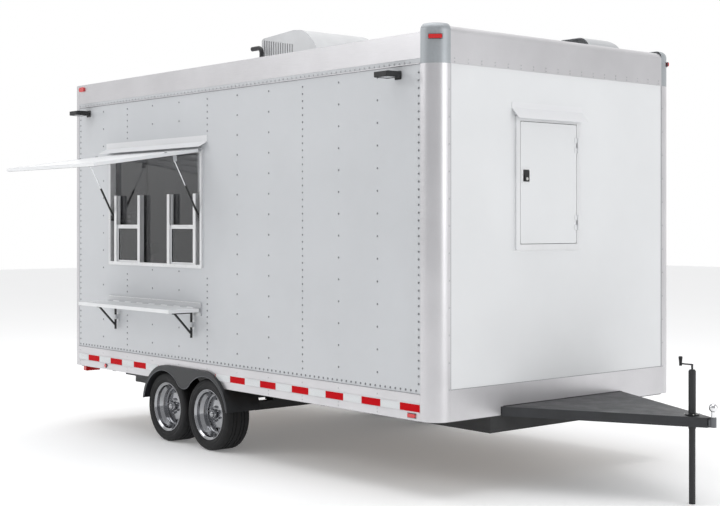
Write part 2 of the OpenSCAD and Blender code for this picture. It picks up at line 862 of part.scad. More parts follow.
module shelf_board() {
    count = floor((shelf_x1 - shelf_x0) / knuckle);
    y1 = shelf_pin_y - shelf_back;
    place() color("white") difference() {
        union() {
            difference() {
                span([shelf_x0, y1 - shelf_d, shelf_top - shelf_t], [shelf_x1, y1, shelf_top]);
                span([shelf_x0 + 4, y1 - shelf_d + 4, shelf_top - shelf_t + sheet_t],
                    [shelf_x1 - 4, y1 - 4, shelf_top - sheet_t]);
            }
            for (i = [1:2:count - 1])
                span([shelf_x0 + i * knuckle + gap, y1 - 0.01, shelf_pin_z - 5],
                    [shelf_x0 + (i + 1) * knuckle - gap, shelf_pin_y, shelf_pin_z + 1]);
            knuckles(shelf_x0, shelf_x1, shelf_pin_y, shelf_pin_z, shelf_knuckle_r, 1);
        }
        along(shelf_pin_y, shelf_pin_z, shelf_x0 - eps, shelf_x1 + eps, shelf_pin_r + pin_gap);
    }
}

// Folding bracket: an upright that turns on its pin, a top arm and a diagonal brace
module shelf_bracket(x) {
    brace_low = 945;
    brace_turn = atan2(bracket_top - 8 - brace_low, bracket_reach - 20);
    brace_l = norm([bracket_top - 8 - brace_low, bracket_reach - 20]);
    translate([x, bracket_y, 0]) difference() {
        union() {
            translate([0, 0, bracket_low]) cylinder(h = barrel_low - bracket_low - gap, r = bracket_r);
            translate([0, 0, barrel_high + gap])
                cylinder(h = bracket_top - barrel_high - gap, r = bracket_r);
            span([-8, -bracket_reach, bracket_top - bracket_bar], [8, 0, bracket_top]);
            translate([0, 0, brace_low]) rotate([-brace_turn, 0, 0])
                span([-8, -brace_l, -bracket_bar / 2], [8, 0, bracket_bar / 2]);
        }
        translate([0, 0, bracket_low - eps])
            cylinder(h = bracket_top - bracket_low - 14 + eps, r = bracket_pin_r + pin_gap);
    }
}

module shelf_bracket_front() {
    place() color("black") shelf_bracket(bracket_xs[0]);
}

module shelf_bracket_rear() {
    place() color("black") shelf_bracket(bracket_xs[1]);
}

module flood_mounts() {
    place() color("black") for (x = flood_xs) translate([x, 0, flood_z]) {
        slab_xz(-panel_y - 6, -panel_y - 0.2) round_rect([-32, -30], [32, 30], 8);
        span([-38, -half_w - 14, -8], [38, -panel_y - 5.9, 8]);
        for (side = [-1, 1]) {
            span([side > 0 ? 34 : -38, -half_w - 31, -6], [side > 0 ? 38 : -34, -half_w - 13, 6]);
            along(-half_w - 26, 0, side > 0 ? 26 : -37, side > 0 ? 37 : -26, 3);
        }
    }
}

module flood_head(x) {
    y1 = -half_w - 36;
    translate([x, 0, flood_z]) {
        slab_xy_round([-flood_w / 2, y1 - flood_d], [flood_w / 2, y1], -flood_t / 2, flood_t / 2, 10);
        difference() {
            span([-33, y1 - 4, -8], [33, -half_w - 18, 8]);
            along(-half_w - 26, 0, -40, 40, 3 + pin_gap);
            span([-24, y1, -9], [24, -half_w, 9]);
        }
    }
}

module slab_xy_round(low, high, z0, z1, r) {
    translate([0, 0, z0]) linear_extrude(z1 - z0) round_rect(low, high, r);
}

module flood_head_front() {
    place() color("black") flood_head(flood_xs[0]);
}

module flood_head_rear() {
    place() color("black") flood_head(flood_xs[1]);
}

// Side outline of the air conditioner, rising to a peak and then falling forward
module ac_2d() {
    polygon([[0, 0], [0, 305], [20, 322], [460, 352], [520, 345],
        for (t = [8:8:80]) [520 + 3.5 * t, 345 - 0.0325 * t * t], [ac_l, 90], [ac_l, 0]]);
}

module ac_unit() {
    place() color("white") difference() {
        translate([ac_x0, 0, ac_low]) difference() {
            slab_xz(ac_y0, ac_y0 + ac_w) ac_2d();
            // The sealed space inside the shroud
            slab_xz(ac_y0 + 20, ac_y0 + ac_w - 20) translate([24, 40]) scale([0.94, 0.83, 1]) ac_2d();
            // Upright louvre slots in both sides, shorter towards the front
            for (i = [0:12]) {
                x = 36 + i * 33;
                for (y = [ac_y0, ac_y0 + ac_w])
                    span([x, y - 12, 150], [x + 14, y + 12, 305 - i * 6]);
            }
        }
        roof_cut();
    }
}

// Profile of the roof vent's hood in X and Z, with a rounded front and rear
module hood_2d(shrink) {
    round_rect([vent_x0 + shrink, hood_low - 2 * hood_r], [vent_x0 + vent_l - shrink, hood_top - shrink],
        hood_r - shrink);
}

// The hood's outline in Y and Z, rounded at the road side only
module hood_end_2d(shrink) {
    round_rect([vent_y0 - 2 * vent_w, hood_low - 2 * hood_r], [vent_y0 + vent_w - shrink, hood_top - shrink],
        hood_r - shrink);
}

module vent_base() {
    place() color("gainsboro") difference() {
        union() {
            span([vent_x0 + 15, vent_y0 + 15, body_top - 10],
                [vent_x0 + vent_l - 15, vent_y0 + vent_w - 15, hood_low - 8]);
            for (y = [vent_y0 + 120, vent_y0 + vent_w - 160])
                span([vent_x0 - 14, y, hood_low - 24], [vent_x0 + 16, y + 40, hood_low - 12]);
            for (y = [vent_y0 + 120, vent_y0 + vent_w - 160])
                across(vent_x0 - 10, hood_low - 12, y, y + 40, 8);
            across(vent_x0 - 10, hood_low - 12, vent_y0 + 90, vent_y0 + vent_w - 90, hood_pin_r);
        }
        span([vent_x0 + 19, vent_y0 + 19, body_top + 40],
            [vent_x0 + vent_l - 19, vent_y0 + vent_w - 19, hood_low]);
        roof_cut();
    }
}

// Hood over the roof vent, open at the curb side and hinged along its rear edge
module vent_lid() {
    place() color("gainsboro") {
        difference() {
            intersection() {
                slab_xz(vent_y0, vent_y0 + vent_w) hood_2d(0);
                slab_yz(vent_x0 - 1, vent_x0 + vent_l + 1) hood_end_2d(0);
                span([0, 0, hood_low], [half_l, half_w, hood_top + 1]);
            }
            intersection() {
                slab_xz(vent_y0 - 1, vent_y0 + vent_w) hood_2d(3);
                slab_yz(vent_x0 - 1, vent_x0 + vent_l + 1) hood_end_2d(3);
            }
        }
        for (y = [vent_y0 + 80, vent_y0 + vent_w - 116]) difference() {
            union() {
                across(vent_x0 - 10, hood_low - 12, y, y + 36, 8);
                span([vent_x0 - 18, y, hood_low - 12], [vent_x0 - 14, y + 36, hood_low + 20]);
                span([vent_x0 - 18, y, hood_low + 12], [vent_x0 + 1, y + 36, hood_low + 20]);
            }
            across(vent_x0 - 10, hood_low - 12, y - 1, y + 40, hood_pin_r + pin_gap);
        }
    }
}

// Plumbing vent: a straight riser and an elbow that turns it towards the rear
module vent_pipe() {
    place() color("dimgray") {
        translate([pipe_x, pipe_y, pipe_foot + 2])
            cylinder(h = pipe_top - pipe_bend - pipe_foot - 2, r = pipe_r);
        translate([pipe_x - pipe_bend, pipe_y, pipe_top - pipe_bend]) rotate([90, 0, 0])
            rotate_extrude(angle = 90) translate([pipe_bend, 0]) circle(pipe_r);
        difference() {
            along(pipe_y, pipe_top, pipe_x - pipe_bend - 90, pipe_x - pipe_bend + 0.01, pipe_r);
            along(pipe_y, pipe_top, pipe_x - pipe_bend - 100, pipe_x - pipe_bend - 20, pipe_r - 4);
        }
        translate([pipe_x, pipe_y, pipe_foot]) cylinder(h = 24, r1 = 58, r2 = 24);
    }
}

module axle_tubes() {
    place() color("black") for (x = wheel_xs) translate([x + arm_dx, 0, tyre_r + arm_dz]) {
        difference() {
            span([-35, -arm_in + 3, -35], [35, arm_in - 3, 35]);
            span([-30, -arm_in - eps, -30], [30, arm_in + eps, 30]);
        }
        both_sides() {
            across(0, 0, -arm_out, -arm_in + 60, stub_r);
            span([-29.9, -arm_in + 4, -29.9], [29.9, -arm_in + 30, 29.9]);
            span([-60, -rail_y - 2, 35], [60, -rail_y + beam_w, rail_low_z - tyre_r - arm_dz - 0.1]);
        }
    }
}

// Trailing arm with its spindle and brake drum, on the curb side
module torsion_arm(x) {
    pivot = [x + arm_dx, tyre_r + arm_dz];
    difference() {
        union() {
            across(pivot[0], pivot[1], -arm_out, -arm_in, 36);
            across(x, tyre_r, -arm_out, -arm_in, 30);
            translate([pivot[0], 0, pivot[1]]) rotate([0, -arm_angle, 0])
                span([-arm_l, -arm_out, -26], [0, -arm_in, 26]);
            across(x, tyre_r, -arm_out - 62, -arm_out, drum_r);
            across(x, tyre_r, -tyre_out + dish - 30, -arm_out, spindle_r);
        }
        across(pivot[0], pivot[1], -arm_out - eps, -arm_in + eps, stub_r + pin_gap);
    }
}

// Section of the tyre: distance from the wheel's axis, and from its outer face inwards
module tyre_2d() {
    difference() {
        polygon([[bead_r + 0.3, lip + 11.5], [rim_r + 0.5, lip + 9.4], [rim_r + 3, lip + 1], [226, 4], [242, 0],
            [266, 0], [282, 6], [290, 15], [tyre_r, 30], [tyre_r, tyre_w - 30], [290, tyre_w - 15],
            [282, tyre_w - 6], [266, tyre_w], [242, tyre_w], [rim_r + 3, tyre_w - 7],
            [rim_r + 0.5, tyre_w - 13.4], [bead_r + 0.3, tyre_w - 15.5]]);
        polygon([[bead_r - 1, lip + 26], [bead_r + 12, lip + 22], [240, 15], [264, 16], [278, 34],
            [278, tyre_w - 34], [264, tyre_w - 16], [240, tyre_w - 14], [bead_r + 12, tyre_w - 30],
            [bead_r - 1, tyre_w - 34]]);
    }
}

// Turns a section about a wheel's axis; the section's second axis runs inwards from the outer face
module spin_wheel(x) {
    translate([x, -tyre_out, tyre_r]) rotate([-90, 0, 0]) rotate_extrude() children();
}

module tyre(x) {
    spin_wheel(x) tyre_2d();
}

// Section of the rim: flanges, well, dished disc and hub
module rim_2d() {
    polygon([[rim_r, lip], [rim_r, lip + 7], [bead_r + 6, lip + 9], [bead_r, lip + 11], [bead_r, 56],
        [172, 76], [172, 150],
        [bead_r, 180], [bead_r, tyre_w - 15], [bead_r + 6, tyre_w - 13], [rim_r - 3, tyre_w - 11],
        [rim_r - 3, tyre_w - 6], [bead_r - 2, tyre_w - 8], [bead_r - 5, tyre_w - 20], [bead_r - 5, 184],
        [166, 154], [166, dish + 42], [150, dish + 24], [112, dish + 12], [70, dish + 8],
        [spindle_r + pin_gap, dish + 8], [spindle_r + pin_gap, dish - 32], [32, dish - 36],
        [36, dish - 28], [40, dish - 4], [70, dish], [112, dish + 4], [152, dish + 16], [165, dish + 12],
        [165, 78], [bead_r - 5, 52], [bead_r - 5, lip + 10], [rim_r - 8, lip]]);
}

module rim(x) {
    difference() {
        spin_wheel(x) rim_2d();
        for (i = [0:holes - 1])
            translate([x, -tyre_out, tyre_r]) rotate([0, i * 360 / holes, 0])
                across(hole_pcd_r, 0, dish - 30, dish + 40, hole_r);
    }
    across(x, tyre_r, -tyre_out + dish - 40, -tyre_out + dish - 30.1, 24);
}

module door_frame(w, h) {
    difference() {
        round_rect([-w / 2 - door_frame, -door_frame], [w / 2 + door_frame, h + door_frame], 14);
        translate([-w / 2 - door_gap, -door_gap]) square([w + 2 * door_gap, h + 2 * door_gap]);
    }
}

// Places a shape drawn in width and height on the front wall, its thickness running forward
module on_front() {
    translate([half_l - skin + 0.2, front_door_y, front_door_low]) rotate([90, 0, 90]) children();
}

// The same on the rear wall; width runs towards the curb side, and thickness rearward
module on_rear() {
    translate([-half_l + skin - 0.2, rear_door_y, rear_door_low]) rotate([90, 0, -90]) children();
}

// Three knuckles on one upright pin; which = 0 gives the fixed one and its pin, 1 the moving two
module butt_hinge(which, w, z) {
    x = w / 2 + door_gap + 8;
    y = 24;
    translate([x, z, y]) rotate([-90, 0, 0]) {
        if (which == 0) {
            translate([0, 0, -18]) cylinder(h = 36, r = door_knuckle_r);
            translate([0, 0, -55]) cylinder(h = 110, r = door_pin_r);
            span([0, 5, -18], [22, 9, 18]);
        }
        if (which == 1) difference() {
            for (low = [-55, 18 + gap]) {
                translate([0, 0, low]) cylinder(h = 37 - gap, r = door_knuckle_r);
                span([-32, 5, low], [0, 8.6, low + 37 - gap]);
                span([-32, 8, low], [-12, 9.1, low + 37 - gap]);
            }
            translate([0, 0, -60]) cylinder(h = 120, r = door_pin_r + pin_gap);
        }
    }
}

module door_frames() {
    place() color("silver") {
        on_front() {
            linear_extrude(15) door_frame(front_door_w, front_door_h);
            for (z = [150, front_door_h - 150]) butt_hinge(0, front_door_w, z);
        }
        on_rear() {
            linear_extrude(15) door_frame(rear_door_w, rear_door_h);
            for (z = [250, rear_door_h / 2, rear_door_h - 250]) butt_hinge(0, rear_door_w, z);
        }
    }
}

// A door leaf with its hinge knuckles
module door_leaf(w, h, heights) {
    difference() {
        translate([0, 0, 15 - door_t]) linear_extrude(door_t) round_rect([-w / 2, 0], [w / 2, h], 12);
        span([-w / 2 + 8, 8, 15 - door_t + sheet_t], [w / 2 - 8, h - 8, 15 - sheet_t]);
    }
    for (z = heights) butt_hinge(1, w, z);
}

module front_door() {
    place() color("white") on_front()
        door_leaf(front_door_w, front_door_h, [150, front_door_h - 150]);
}

module front_latch() {
    place() color("black") on_front() translate([-front_door_w / 2 + 25, 440, 15.3])
        latch_paddle(60, 82);
}

// Paddle of a flush latch, with its upper edge as the hinge line
module latch_paddle(w, h) {
    linear_extrude(5) round_rect([0, 0], [w, h], 8);
    translate([6, 8, 4.9]) linear_extrude(5) round_rect([0, 0], [w - 12, h / 2], 5);
}

module rear_door() {
    place() color("white") on_rear()
        door_leaf(rear_door_w, rear_door_h, [250, rear_door_h / 2, rear_door_h - 250]);
}

// Lever handle on its turning shaft
module rear_latch() {
    place() color("silver") on_rear() translate([-rear_door_w / 2 + 60, lever_z, 15.3]) {
        cylinder(h = 34, r = 16);
        translate([0, 0, 32]) linear_extrude(13.5) round_rect([-12, -12], [128, 12], 11);
    }
}

module jack_tube() {
    place() color("dimgray") translate([jack_x, 0, 0]) difference() {
        union() {
            translate([0, 0, jack_low]) cylinder(h = jack_top - jack_low, r = jack_r);
            translate([0, 0, tongue_top + 0.2]) cylinder(h = 8, r = 46);
            translate([0, 0, jack_top - 0.01]) cylinder(h = 12, r1 = jack_r, r2 = 18);
        }
        translate([0, 0, jack_low - eps]) cylinder(h = jack_top - 6 - jack_low + eps, r = leg_r + 0.4);
        translate([0, 0, jack_low]) cylinder(h = jack_top, r = 7 + pin_gap);
    }
}

module jack_leg() {
    place() color("dimgray") translate([jack_x, 0, 0]) difference() {
        cylinder(h = jack_low + 40, r = leg_r);
        translate([0, 0, 10]) cylinder(h = jack_top, r = leg_r - 4);
    }
}

module jack_crank() {
    place() color("gray") translate([jack_x, 0, 0]) {
        translate([0, 0, jack_top - 40]) cylinder(h = 88, r = 7);
        along(0, jack_top + 44, -93, 0, 5);
        translate([-93, 0, jack_top + 32]) cylinder(h = 60, r1 = 8, r2 = 12);
    }
}

// Wheel corners in order: front curb, rear curb, front road, rear road
module corner(i) {
    place() mirror([0, i > 1 ? 1 : 0, 0]) children();
}

module arm_front_curb() { corner(0) color("black") torsion_arm(wheel_xs[0]); }
module arm_rear_curb() { corner(1) color("black") torsion_arm(wheel_xs[1]); }
module arm_front_road() { corner(2) color("black") torsion_arm(wheel_xs[0]); }
module arm_rear_road() { corner(3) color("black") torsion_arm(wheel_xs[1]); }
module tyre_front_curb() { corner(0) color("#202020") tyre(wheel_xs[0]); }
module tyre_rear_curb() { corner(1) color("#202020") tyre(wheel_xs[1]); }
module tyre_front_road() { corner(2) color("#202020") tyre(wheel_xs[0]); }
module tyre_rear_road() { corner(3) color("#202020") tyre(wheel_xs[1]); }
module rim_front_curb() { corner(0) color("silver") rim(wheel_xs[0]); }
module rim_rear_curb() { corner(1) color("silver") rim(wheel_xs[1]); }
module rim_front_road() { corner(2) color("silver") rim(wheel_xs[0]); }
module rim_rear_road() { corner(3) color("silver") rim(wheel_xs[1]); }

chassis_frame();
tongue_frame();
tow_hitch();
floor_deck();
curb_wall();
road_wall();
front_wall();
rear_wall();
corner_posts();
corner_castings();
top_rails();
sill_rails();
roof_skin();
inner_lining();
water_tank();
lamps();
window_frame();
window_glass();
sash_front();
sash_rear();
drip_caps();
hatch_hinge();
hatch_panel();
hatch_hardware();
strut_feet();
strut_cylinders();
strut_rods();
shelf_cleat();
shelf_board();
shelf_bracket_front();
shelf_bracket_rear();
flood_mounts();
flood_head_front();
flood_head_rear();
ac_unit();
vent_base();
vent_lid();
vent_pipe();
fenders();
axle_tubes();
arm_front_curb();
arm_rear_curb();
arm_front_road();
arm_rear_road();
tyre_front_curb();
tyre_rear_curb();
tyre_front_road();
tyre_rear_road();
rim_front_curb();
rim_rear_curb();
rim_front_road();
rim_rear_road();
door_frames();
front_door();
front_latch();
rear_door();
rear_latch();
jack_tube();
jack_leg();
jack_crank();
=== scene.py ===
import json
import math

import bmesh
import bpy
from mathutils import Matrix, Vector


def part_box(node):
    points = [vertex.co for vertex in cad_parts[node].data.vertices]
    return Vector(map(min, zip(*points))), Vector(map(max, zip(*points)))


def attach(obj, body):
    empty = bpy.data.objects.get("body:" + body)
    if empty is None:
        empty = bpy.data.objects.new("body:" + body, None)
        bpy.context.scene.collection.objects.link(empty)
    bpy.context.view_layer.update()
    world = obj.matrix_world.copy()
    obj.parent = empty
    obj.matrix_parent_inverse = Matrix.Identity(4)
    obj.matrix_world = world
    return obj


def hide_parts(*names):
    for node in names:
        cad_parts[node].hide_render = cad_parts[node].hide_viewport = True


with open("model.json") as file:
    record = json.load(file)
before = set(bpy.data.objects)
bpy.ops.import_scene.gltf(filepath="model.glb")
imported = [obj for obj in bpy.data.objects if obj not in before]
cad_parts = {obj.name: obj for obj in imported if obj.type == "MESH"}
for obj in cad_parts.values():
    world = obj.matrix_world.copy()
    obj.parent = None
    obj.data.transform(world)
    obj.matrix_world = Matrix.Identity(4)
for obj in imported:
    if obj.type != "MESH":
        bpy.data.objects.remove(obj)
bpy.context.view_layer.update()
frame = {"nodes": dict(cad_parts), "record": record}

nodes = frame["nodes"]

# ---- the trailer's own frame
# Places are measured from the middle of the box body, in metres:
# x forward, y to the road side, z up.
sill_low, sill_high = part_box("sill_rails")
MIDDLE = Vector(((sill_low.x + sill_high.x) / 2, (sill_low.y + sill_high.y) / 2, 0))
HALF_L = (sill_high.x - sill_low.x) / 2
HALF_W = (sill_high.y - sill_low.y) / 2
BODY_LOW = sill_low.z
SKIN = 0.003
PANEL_Y = HALF_W - SKIN
RUB_TOP = BODY_LOW + 0.18
RAIL_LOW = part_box("top_rails")[1].z - 0.258
FRONT_RAIL_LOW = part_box("corner_castings")[0].z
POST_R = 0.12
FLANGE = 0.0245
FRONT_FACE = HALF_L - SKIN + 0.0002
RAIL_REAR = -HALF_L + 0.046
WINDOW_X = -1.073


def at(x, y, z):
    """A point of the trailer's own frame, in the row frame."""
    return MIDDLE + Vector((x, y, z))


def local(point):
    return point - MIDDLE


def local_box(node):
    low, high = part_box(node)
    return local(low), local(high)


# ---- materials
def rgb(r, g, b):
    return (r, g, b, 1.0)


def shade(colour, k):
    return tuple(min(1.0, c * k) for c in colour[:3]) + (1.0,)


class Nodes:
    """A material's node tree with short calls for the nodes used here."""

    def __init__(self, name):
        self.material = bpy.data.materials.new(name)
        self.material.use_nodes = True
        self.tree = self.material.node_tree
        self.shader = self.tree.nodes["Principled BSDF"]
        self.place = self.tree.nodes.new("ShaderNodeTexCoord").outputs["Object"]

    def new(self, kind, **values):
        node = self.tree.nodes.new(kind)
        for key, value in values.items():
            setattr(node, key, value)
        return node

    def link(self, output, socket):
        self.tree.links.new(output, socket)

    def stretched(self, scale):
        mapping = self.new("ShaderNodeMapping")
        mapping.inputs["Scale"].default_value = scale
        self.link(self.place, mapping.inputs["Vector"])
        return mapping.outputs["Vector"]

    def noise(self, scale, detail=3.0, vector=None, roughness=0.5):
        node = self.new("ShaderNodeTexNoise")
        node.inputs["Scale"].default_value = scale
        node.inputs["Detail"].default_value = detail
        node.inputs["Roughness"].default_value = roughness
        self.link(vector or self.place, node.inputs["Vector"])
        return node.outputs["Fac"]

    def ramp(self, value, stops):
        node = self.new("ShaderNodeValToRGB")
        while len(node.color_ramp.elements) < len(stops):
            node.color_ramp.elements.new(0.5)
        for element, (place, colour) in zip(node.color_ramp.elements, stops):
            element.position = place
            element.color = colour
        self.link(value, node.inputs["Fac"])
        return node.outputs["Color"]

    def spread(self, value, low, high):
        node = self.new("ShaderNodeMapRange")
        node.inputs["From Min"].default_value = 0.3
        node.inputs["From Max"].default_value = 0.7
        node.inputs["To Min"].default_value = low
        node.inputs["To Max"].default_value = high
        self.link(value, node.inputs["Value"])
        return node.outputs["Result"]

    def bump(self, value, strength, distance, after=None):
        node = self.new("ShaderNodeBump")
        node.inputs["Strength"].default_value = strength
        node.inputs["Distance"].default_value = distance
        self.link(value, node.inputs["Height"])
        if after:
            self.link(after, node.inputs["Normal"])
        return node.outputs["Normal"]

    def set(self, **values):
        for key, value in values.items():
            socket = self.shader.inputs[key.replace("_", " ")]
            if isinstance(value, bpy.types.NodeSocket):
                self.link(value, socket)
            else:
                socket.default_value = value
        return self


def enamel(name, colour, roughness=0.32, waviness=0.25):
    """White factory paint on sheet metal: faint colour drift, orange peel and slow waves."""
    n = Nodes(name)
    drift = n.noise(1.3, 4.0)
    n.set(Base_Color=n.ramp(drift, [(0.3, shade(colour, 0.965)), (0.7, shade(colour, 1.02))]))
    n.set(Roughness=n.spread(n.noise(9.0, 5.0), roughness - 0.05, roughness + 0.07))
    waves = n.bump(n.noise(2.2, 2.0), waviness, 0.004)
    n.set(Normal=n.bump(n.noise(420.0, 2.0), 0.08, 0.0006, waves))
    n.set(Coat_Weight=0.25, Coat_Roughness=0.18)
    return n.material


def metal(name, colour, roughness=0.35, metallic=0.9, grain=(1.0, 60.0, 60.0), dirt=0.08):
    """Rolled or brushed metal: fine grain along one direction, and cloudy handling marks."""
    n = Nodes(name)
    lines = n.noise(8.0, 4.0, n.stretched(grain))
    clouds = n.noise(3.0, 5.0)
    mixed = n.new("ShaderNodeMath", operation="ADD")
    n.link(lines, mixed.inputs[0])
    n.link(clouds, mixed.inputs[1])
    half = n.new("ShaderNodeMath", operation="MULTIPLY")
    half.inputs[1].default_value = 0.5
    n.link(mixed.outputs[0], half.inputs[0])
    n.set(Base_Color=n.ramp(half.outputs[0],
                            [(0.35, shade(colour, 1 - dirt)), (0.65, shade(colour, 1 + dirt / 2))]))
    n.set(Roughness=n.spread(lines, roughness - 0.06, roughness + 0.09), Metallic=metallic)
    n.set(Normal=n.bump(lines, 0.08, 0.0008))
    return n.material


def powder(name, colour, roughness=0.5, speck=0.22):
    """Black enamel or powder coat on steel, with fine grain and slightly rubbed patches."""
    n = Nodes(name)
    patches = n.noise(6.0, 6.0, roughness=0.6)
    n.set(Base_Color=n.ramp(patches, [(0.38, shade(colour, 0.8)), (0.72, shade(colour, 1.35))]))
    n.set(Roughness=n.spread(patches, roughness - 0.08, roughness + 0.1))
    n.set(Normal=n.bump(n.noise(650.0, 2.0), speck, 0.0008))
    return n.material


def plastic(name, colour, roughness=0.45, grain=300.0):
    n = Nodes(name)
    n.set(Base_Color=n.ramp(n.noise(5.0, 4.0),
                            [(0.3, shade(colour, 0.94)), (0.7, shade(colour, 1.05))]))
    n.set(Roughness=n.spread(n.noise(20.0, 3.0), roughness - 0.05, roughness + 0.08))
    n.set(Normal=n.bump(n.noise(grain, 2.0), 0.15, 0.0006))
    return n.material


def rubber(name, colour, roughness=0.72):
    """Tyre rubber, a little greyer and drier where dust has settled."""
    n = Nodes(name)
    dust = n.noise(14.0, 6.0, roughness=0.65)
    n.set(Base_Color=n.ramp(dust, [(0.4, colour), (0.78, shade(colour, 1.7))]))
    n.set(Roughness=n.spread(dust, roughness - 0.08, roughness + 0.1))
    n.set(Normal=n.bump(n.noise(500.0, 3.0), 0.25, 0.0008))
    return n.material


def chrome(name, colour=rgb(0.72, 0.73, 0.75), roughness=0.09):
    n = Nodes(name)
    haze = n.noise(18.0, 5.0)
    n.set(Base_Color=n.ramp(haze, [(0.3, shade(colour, 0.93)), (0.7, shade(colour, 1.05))]))
    n.set(Roughness=n.spread(haze, roughness - 0.03, roughness + 0.05), Metallic=1.0)
    n.set(Normal=n.bump(n.noise(60.0, 2.0), 0.04, 0.0005))
    return n.material


def lens(name, colour, glow=0.0):
    """Moulded lamp lens with fine prism ribs under a clear surface."""
    n = Nodes(name)
    ribs = n.new("ShaderNodeTexWave", wave_type="BANDS", bands_direction="DIAGONAL")
    ribs.inputs["Scale"].default_value = 60.0
    n.link(n.place, ribs.inputs["Vector"])
    n.set(Base_Color=n.ramp(ribs.outputs["Fac"],
                            [(0.2, shade(colour, 0.8)), (0.8, shade(colour, 1.15))]))
    n.set(Roughness=0.18, Coat_Weight=0.8, Coat_Roughness=0.05)
    n.set(Normal=n.bump(ribs.outputs["Fac"], 0.2, 0.001))
    if glow:
        n.set(Emission_Color=colour, Emission_Strength=glow)
    return n.material


def reflective(name, colour):
    """Retroreflective tape: a small honeycomb of cells under a smooth film."""
    n = Nodes(name)
    cells = n.new("ShaderNodeTexVoronoi", feature="DISTANCE_TO_EDGE")
    cells.inputs["Scale"].default_value = 260.0
    cells.inputs["Randomness"].default_value = 0.25
    n.link(n.place, cells.inputs["Vector"])
    n.set(Base_Color=n.ramp(cells.outputs["Distance"],
                            [(0.03, shade(colour, 0.82)), (0.12, colour)]))
    n.set(Roughness=n.spread(n.noise(15.0, 3.0), 0.35, 0.5), Specular_IOR_Level=0.05)
    n.set(Normal=n.bump(cells.outputs["Distance"], 0.12, 0.0006))
    return n.material


def glass(name, tint):
    n = Nodes(name)
    smear = n.noise(5.0, 5.0)
    n.set(Base_Color=tint, Roughness=n.spread(smear, 0.02, 0.06), IOR=1.45)
    n.set(Transmission_Weight=1.0)
    n.set(Normal=n.bump(n.noise(1.2, 1.0), 0.03, 0.002))
    return n.material


def plywood(name):
    n = Nodes(name)
    grain = n.noise(5.0, 8.0, n.stretched((0.6, 18.0, 18.0)), 0.6)
    n.set(Base_Color=n.ramp(grain, [(0.3, rgb(0.21, 0.14, 0.08)), (0.7, rgb(0.36, 0.25, 0.15))]))
    n.set(Roughness=n.spread(grain, 0.5, 0.7), Normal=n.bump(grain, 0.2, 0.001))
    return n.material


